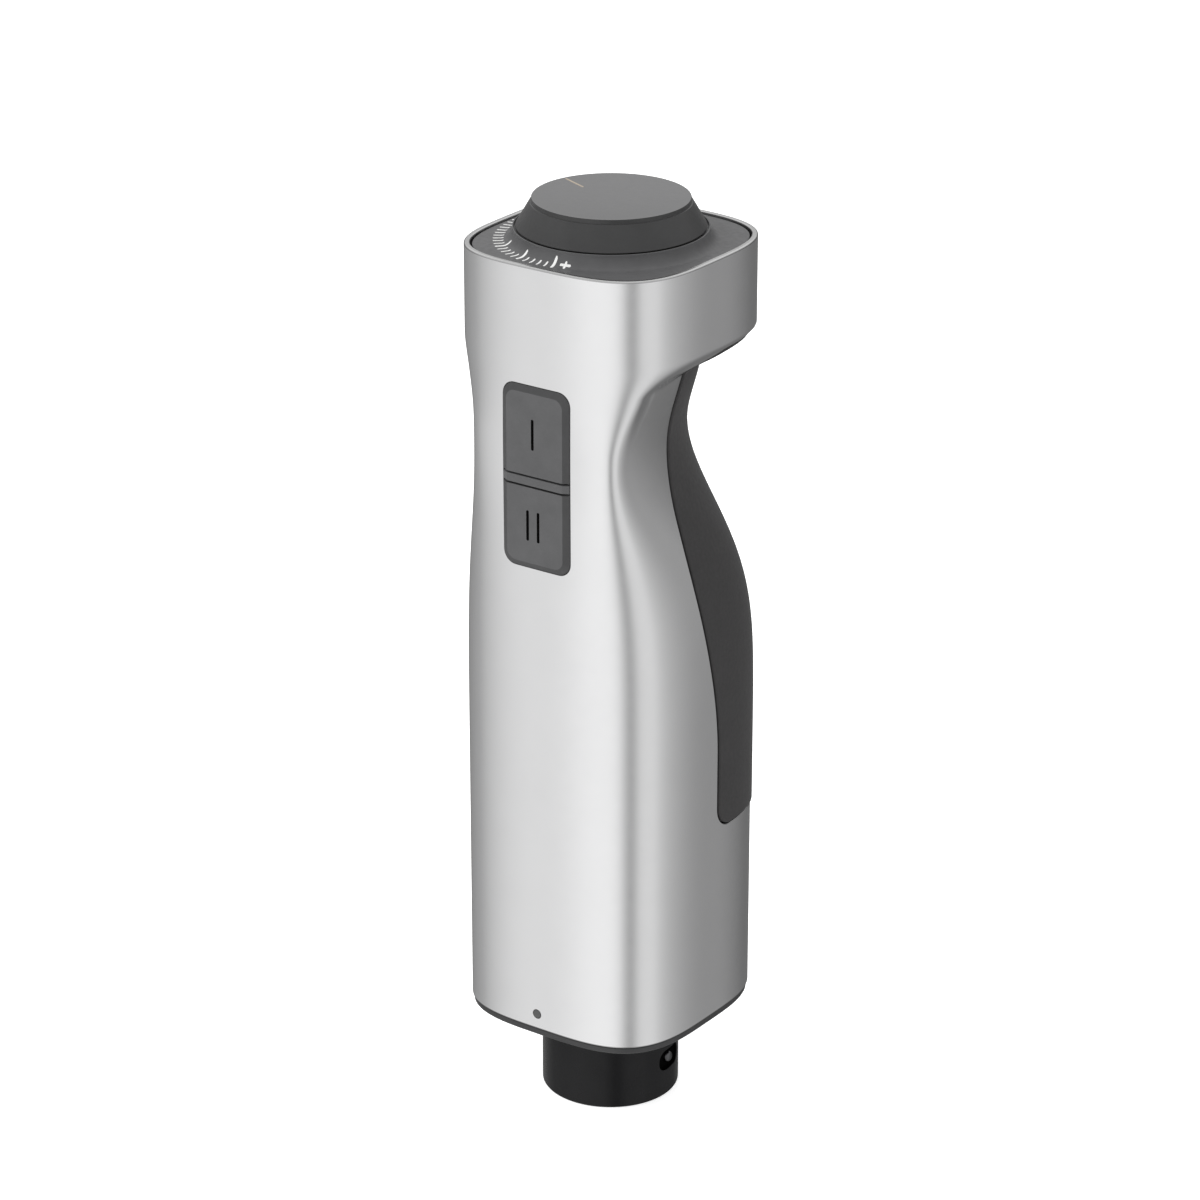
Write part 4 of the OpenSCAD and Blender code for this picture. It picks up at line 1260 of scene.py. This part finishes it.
def charging_socket():
    deep = socket_high[1] - socket_low[1]
    points = [(0.0, 1.0), (2.75, 1.0), (2.75, deep - 0.5), (3.1, deep), (4.1, deep), (4.1, 7.2),
              (5.0, 7.2), (5.0, 0.0), (0.0, 0.0)]
    line = rounded_path(points, [0, 0.2, 0.2, 0.2, 0.35, 0.1, 0.3, 0.3, 0])[0]
    solid = place(lathe(line, 64), "Y", (0.0, socket_low[1], SOCKET_Z))
    piece = finish_mesh("charging_jack", *solid, MATERIALS["moulding_dark"])
    return settle(piece, "body", "ring_black", "charging_socket")


body_shell()
grip_panel()
base_ring()
spigot()
lock_pin("latch_pin_right", "lock_pin_right", "right_latch", LATCH_TURN)
lock_pin("latch_pin_left", "lock_pin_left", "left_latch", LATCH_TURN + 180)
push_button("key_one", "button_one", "upper_button", True)
push_button("key_two", "button_two", "lower_button", False)
button_mark("mark_one", "button_mark_one", "upper_button", (MARK_X,))
button_mark("mark_two", "button_mark_two", "lower_button",
            (MARK_X - MARK_APART, MARK_X + MARK_APART))
button_carrier()
top_plate()
scale_marks()
speed_dial()
dial_pointer()
alignment_dot()
charging_socket()


# ---- floor, world and lamps ----
def add_floor():
    make = Finish("studio_floor", (0.93, 0.93, 0.93), 0.6)
    make.tone(make.noise(60.0, 2.0), 0.995, 1.0)
    make.set(Emission_Color=(1.0, 1.0, 1.0, 1.0), Emission_Strength=0.62)
    mesh = bpy.data.meshes.new("floor")
    reach = 6.0
    corners = [(-reach, -reach, 0), (reach, -reach, 0), (reach, reach, 0), (-reach, reach, 0)]
    mesh.from_pydata(corners, [], [(0, 1, 2, 3)])
    mesh.materials.append(make.material)
    floor = link(bpy.data.objects.new("floor", mesh))
    floor.visible_glossy = False


# brightness of the studio's walls by direction, in degrees from +X towards +Y
WALLS = ((-180, 0.36), (-166, 0.4), (-157, 0.5), (-144, 0.63), (-136, 0.71), (-127, 0.82), (-118, 0.92),
         (-108, 0.98), (-91, 1.0), (-77, 0.98), (-65, 0.88), (-55, 0.6), (-47, 0.4), (-40, 0.4),
         (-33, 0.56), (-25, 0.73), (-12, 0.77), (3, 0.76), (10, 0.66), (20, 0.56), (30, 0.48),
         (41, 0.41), (55, 0.3), (64, 0.22), (80, 0.16), (120, 0.17), (150, 0.27), (180, 0.36))
CEILING = ((-180, 0.95), (-90, 0.9), (0, 0.85), (60, 1.0), (110, 1.3), (140, 1.3), (180, 0.95))


def add_world():
    """Pale walls whose brightness changes round the object, under a soft ceiling."""
    world = bpy.data.worlds.new("studio")
    bpy.context.scene.world = world
    world.use_nodes = True
    tree = world.node_tree

    def ranged(source, low, high, kind="LINEAR"):
        node = tree.nodes.new("ShaderNodeMapRange")
        node.interpolation_type = kind
        node.inputs["From Min"].default_value = low
        node.inputs["From Max"].default_value = high
        tree.links.new(source, node.inputs["Value"])
        return node.outputs["Result"]

    split = tree.nodes.new("ShaderNodeSeparateXYZ")
    way = tree.nodes.new("ShaderNodeTexCoord")
    tree.links.new(way.outputs["Generated"], split.inputs[0])
    angle = tree.nodes.new("ShaderNodeMath")
    angle.operation = "ARCTAN2"
    tree.links.new(split.outputs["Y"], angle.inputs[0])
    tree.links.new(split.outputs["X"], angle.inputs[1])
    share = ranged(angle.outputs[0], -math.pi, math.pi)
    start, end = math.sin(math.radians(4)), math.sin(math.radians(32))
    mix = tree.nodes.new("ShaderNodeMix")
    mix.data_type = "RGBA"
    tree.links.new(ranged(split.outputs["Z"], start, end, "SMOOTHSTEP"), mix.inputs[0])
    for stops, socket in ((WALLS, mix.inputs[6]), (CEILING, mix.inputs[7])):
        ramp = tree.nodes.new("ShaderNodeValToRGB")
        ramp.color_ramp.interpolation = "LINEAR"
        elements = ramp.color_ramp.elements
        while len(elements) < len(stops):
            elements.new(0.5)
        for element, (degrees, value) in zip(elements, stops):
            element.position = (degrees + 180) / 360
            element.color = (value, value, value, 1.0)
        tree.links.new(share, ramp.inputs["Fac"])
        tree.links.new(ramp.outputs["Color"], socket)
    background = tree.nodes["Background"]
    background.inputs["Strength"].default_value = 1.0
    tree.links.new(mix.outputs[2], background.inputs["Color"])


def add_lamp(name, at, aim, size, power):
    data = bpy.data.lights.new(name, "AREA")
    data.shape = "DISK"
    data.size = size
    data.energy = power
    lamp = link(bpy.data.objects.new(name, data))
    lamp.visible_glossy = False
    lamp.location = at
    lamp.rotation_euler = (Vector(aim) - Vector(at)).to_track_quat("-Z", "Y").to_euler()


add_floor()
add_world()
add_lamp("key", (-0.9, -0.9, 1.3), (0, 0, 0.12), 0.8, 12.0)
add_lamp("fill", (1.1, -0.9, 0.9), (0, 0, 0.12), 0.9, 3.0)
bpy.context.scene.view_settings.view_transform = "Standard"
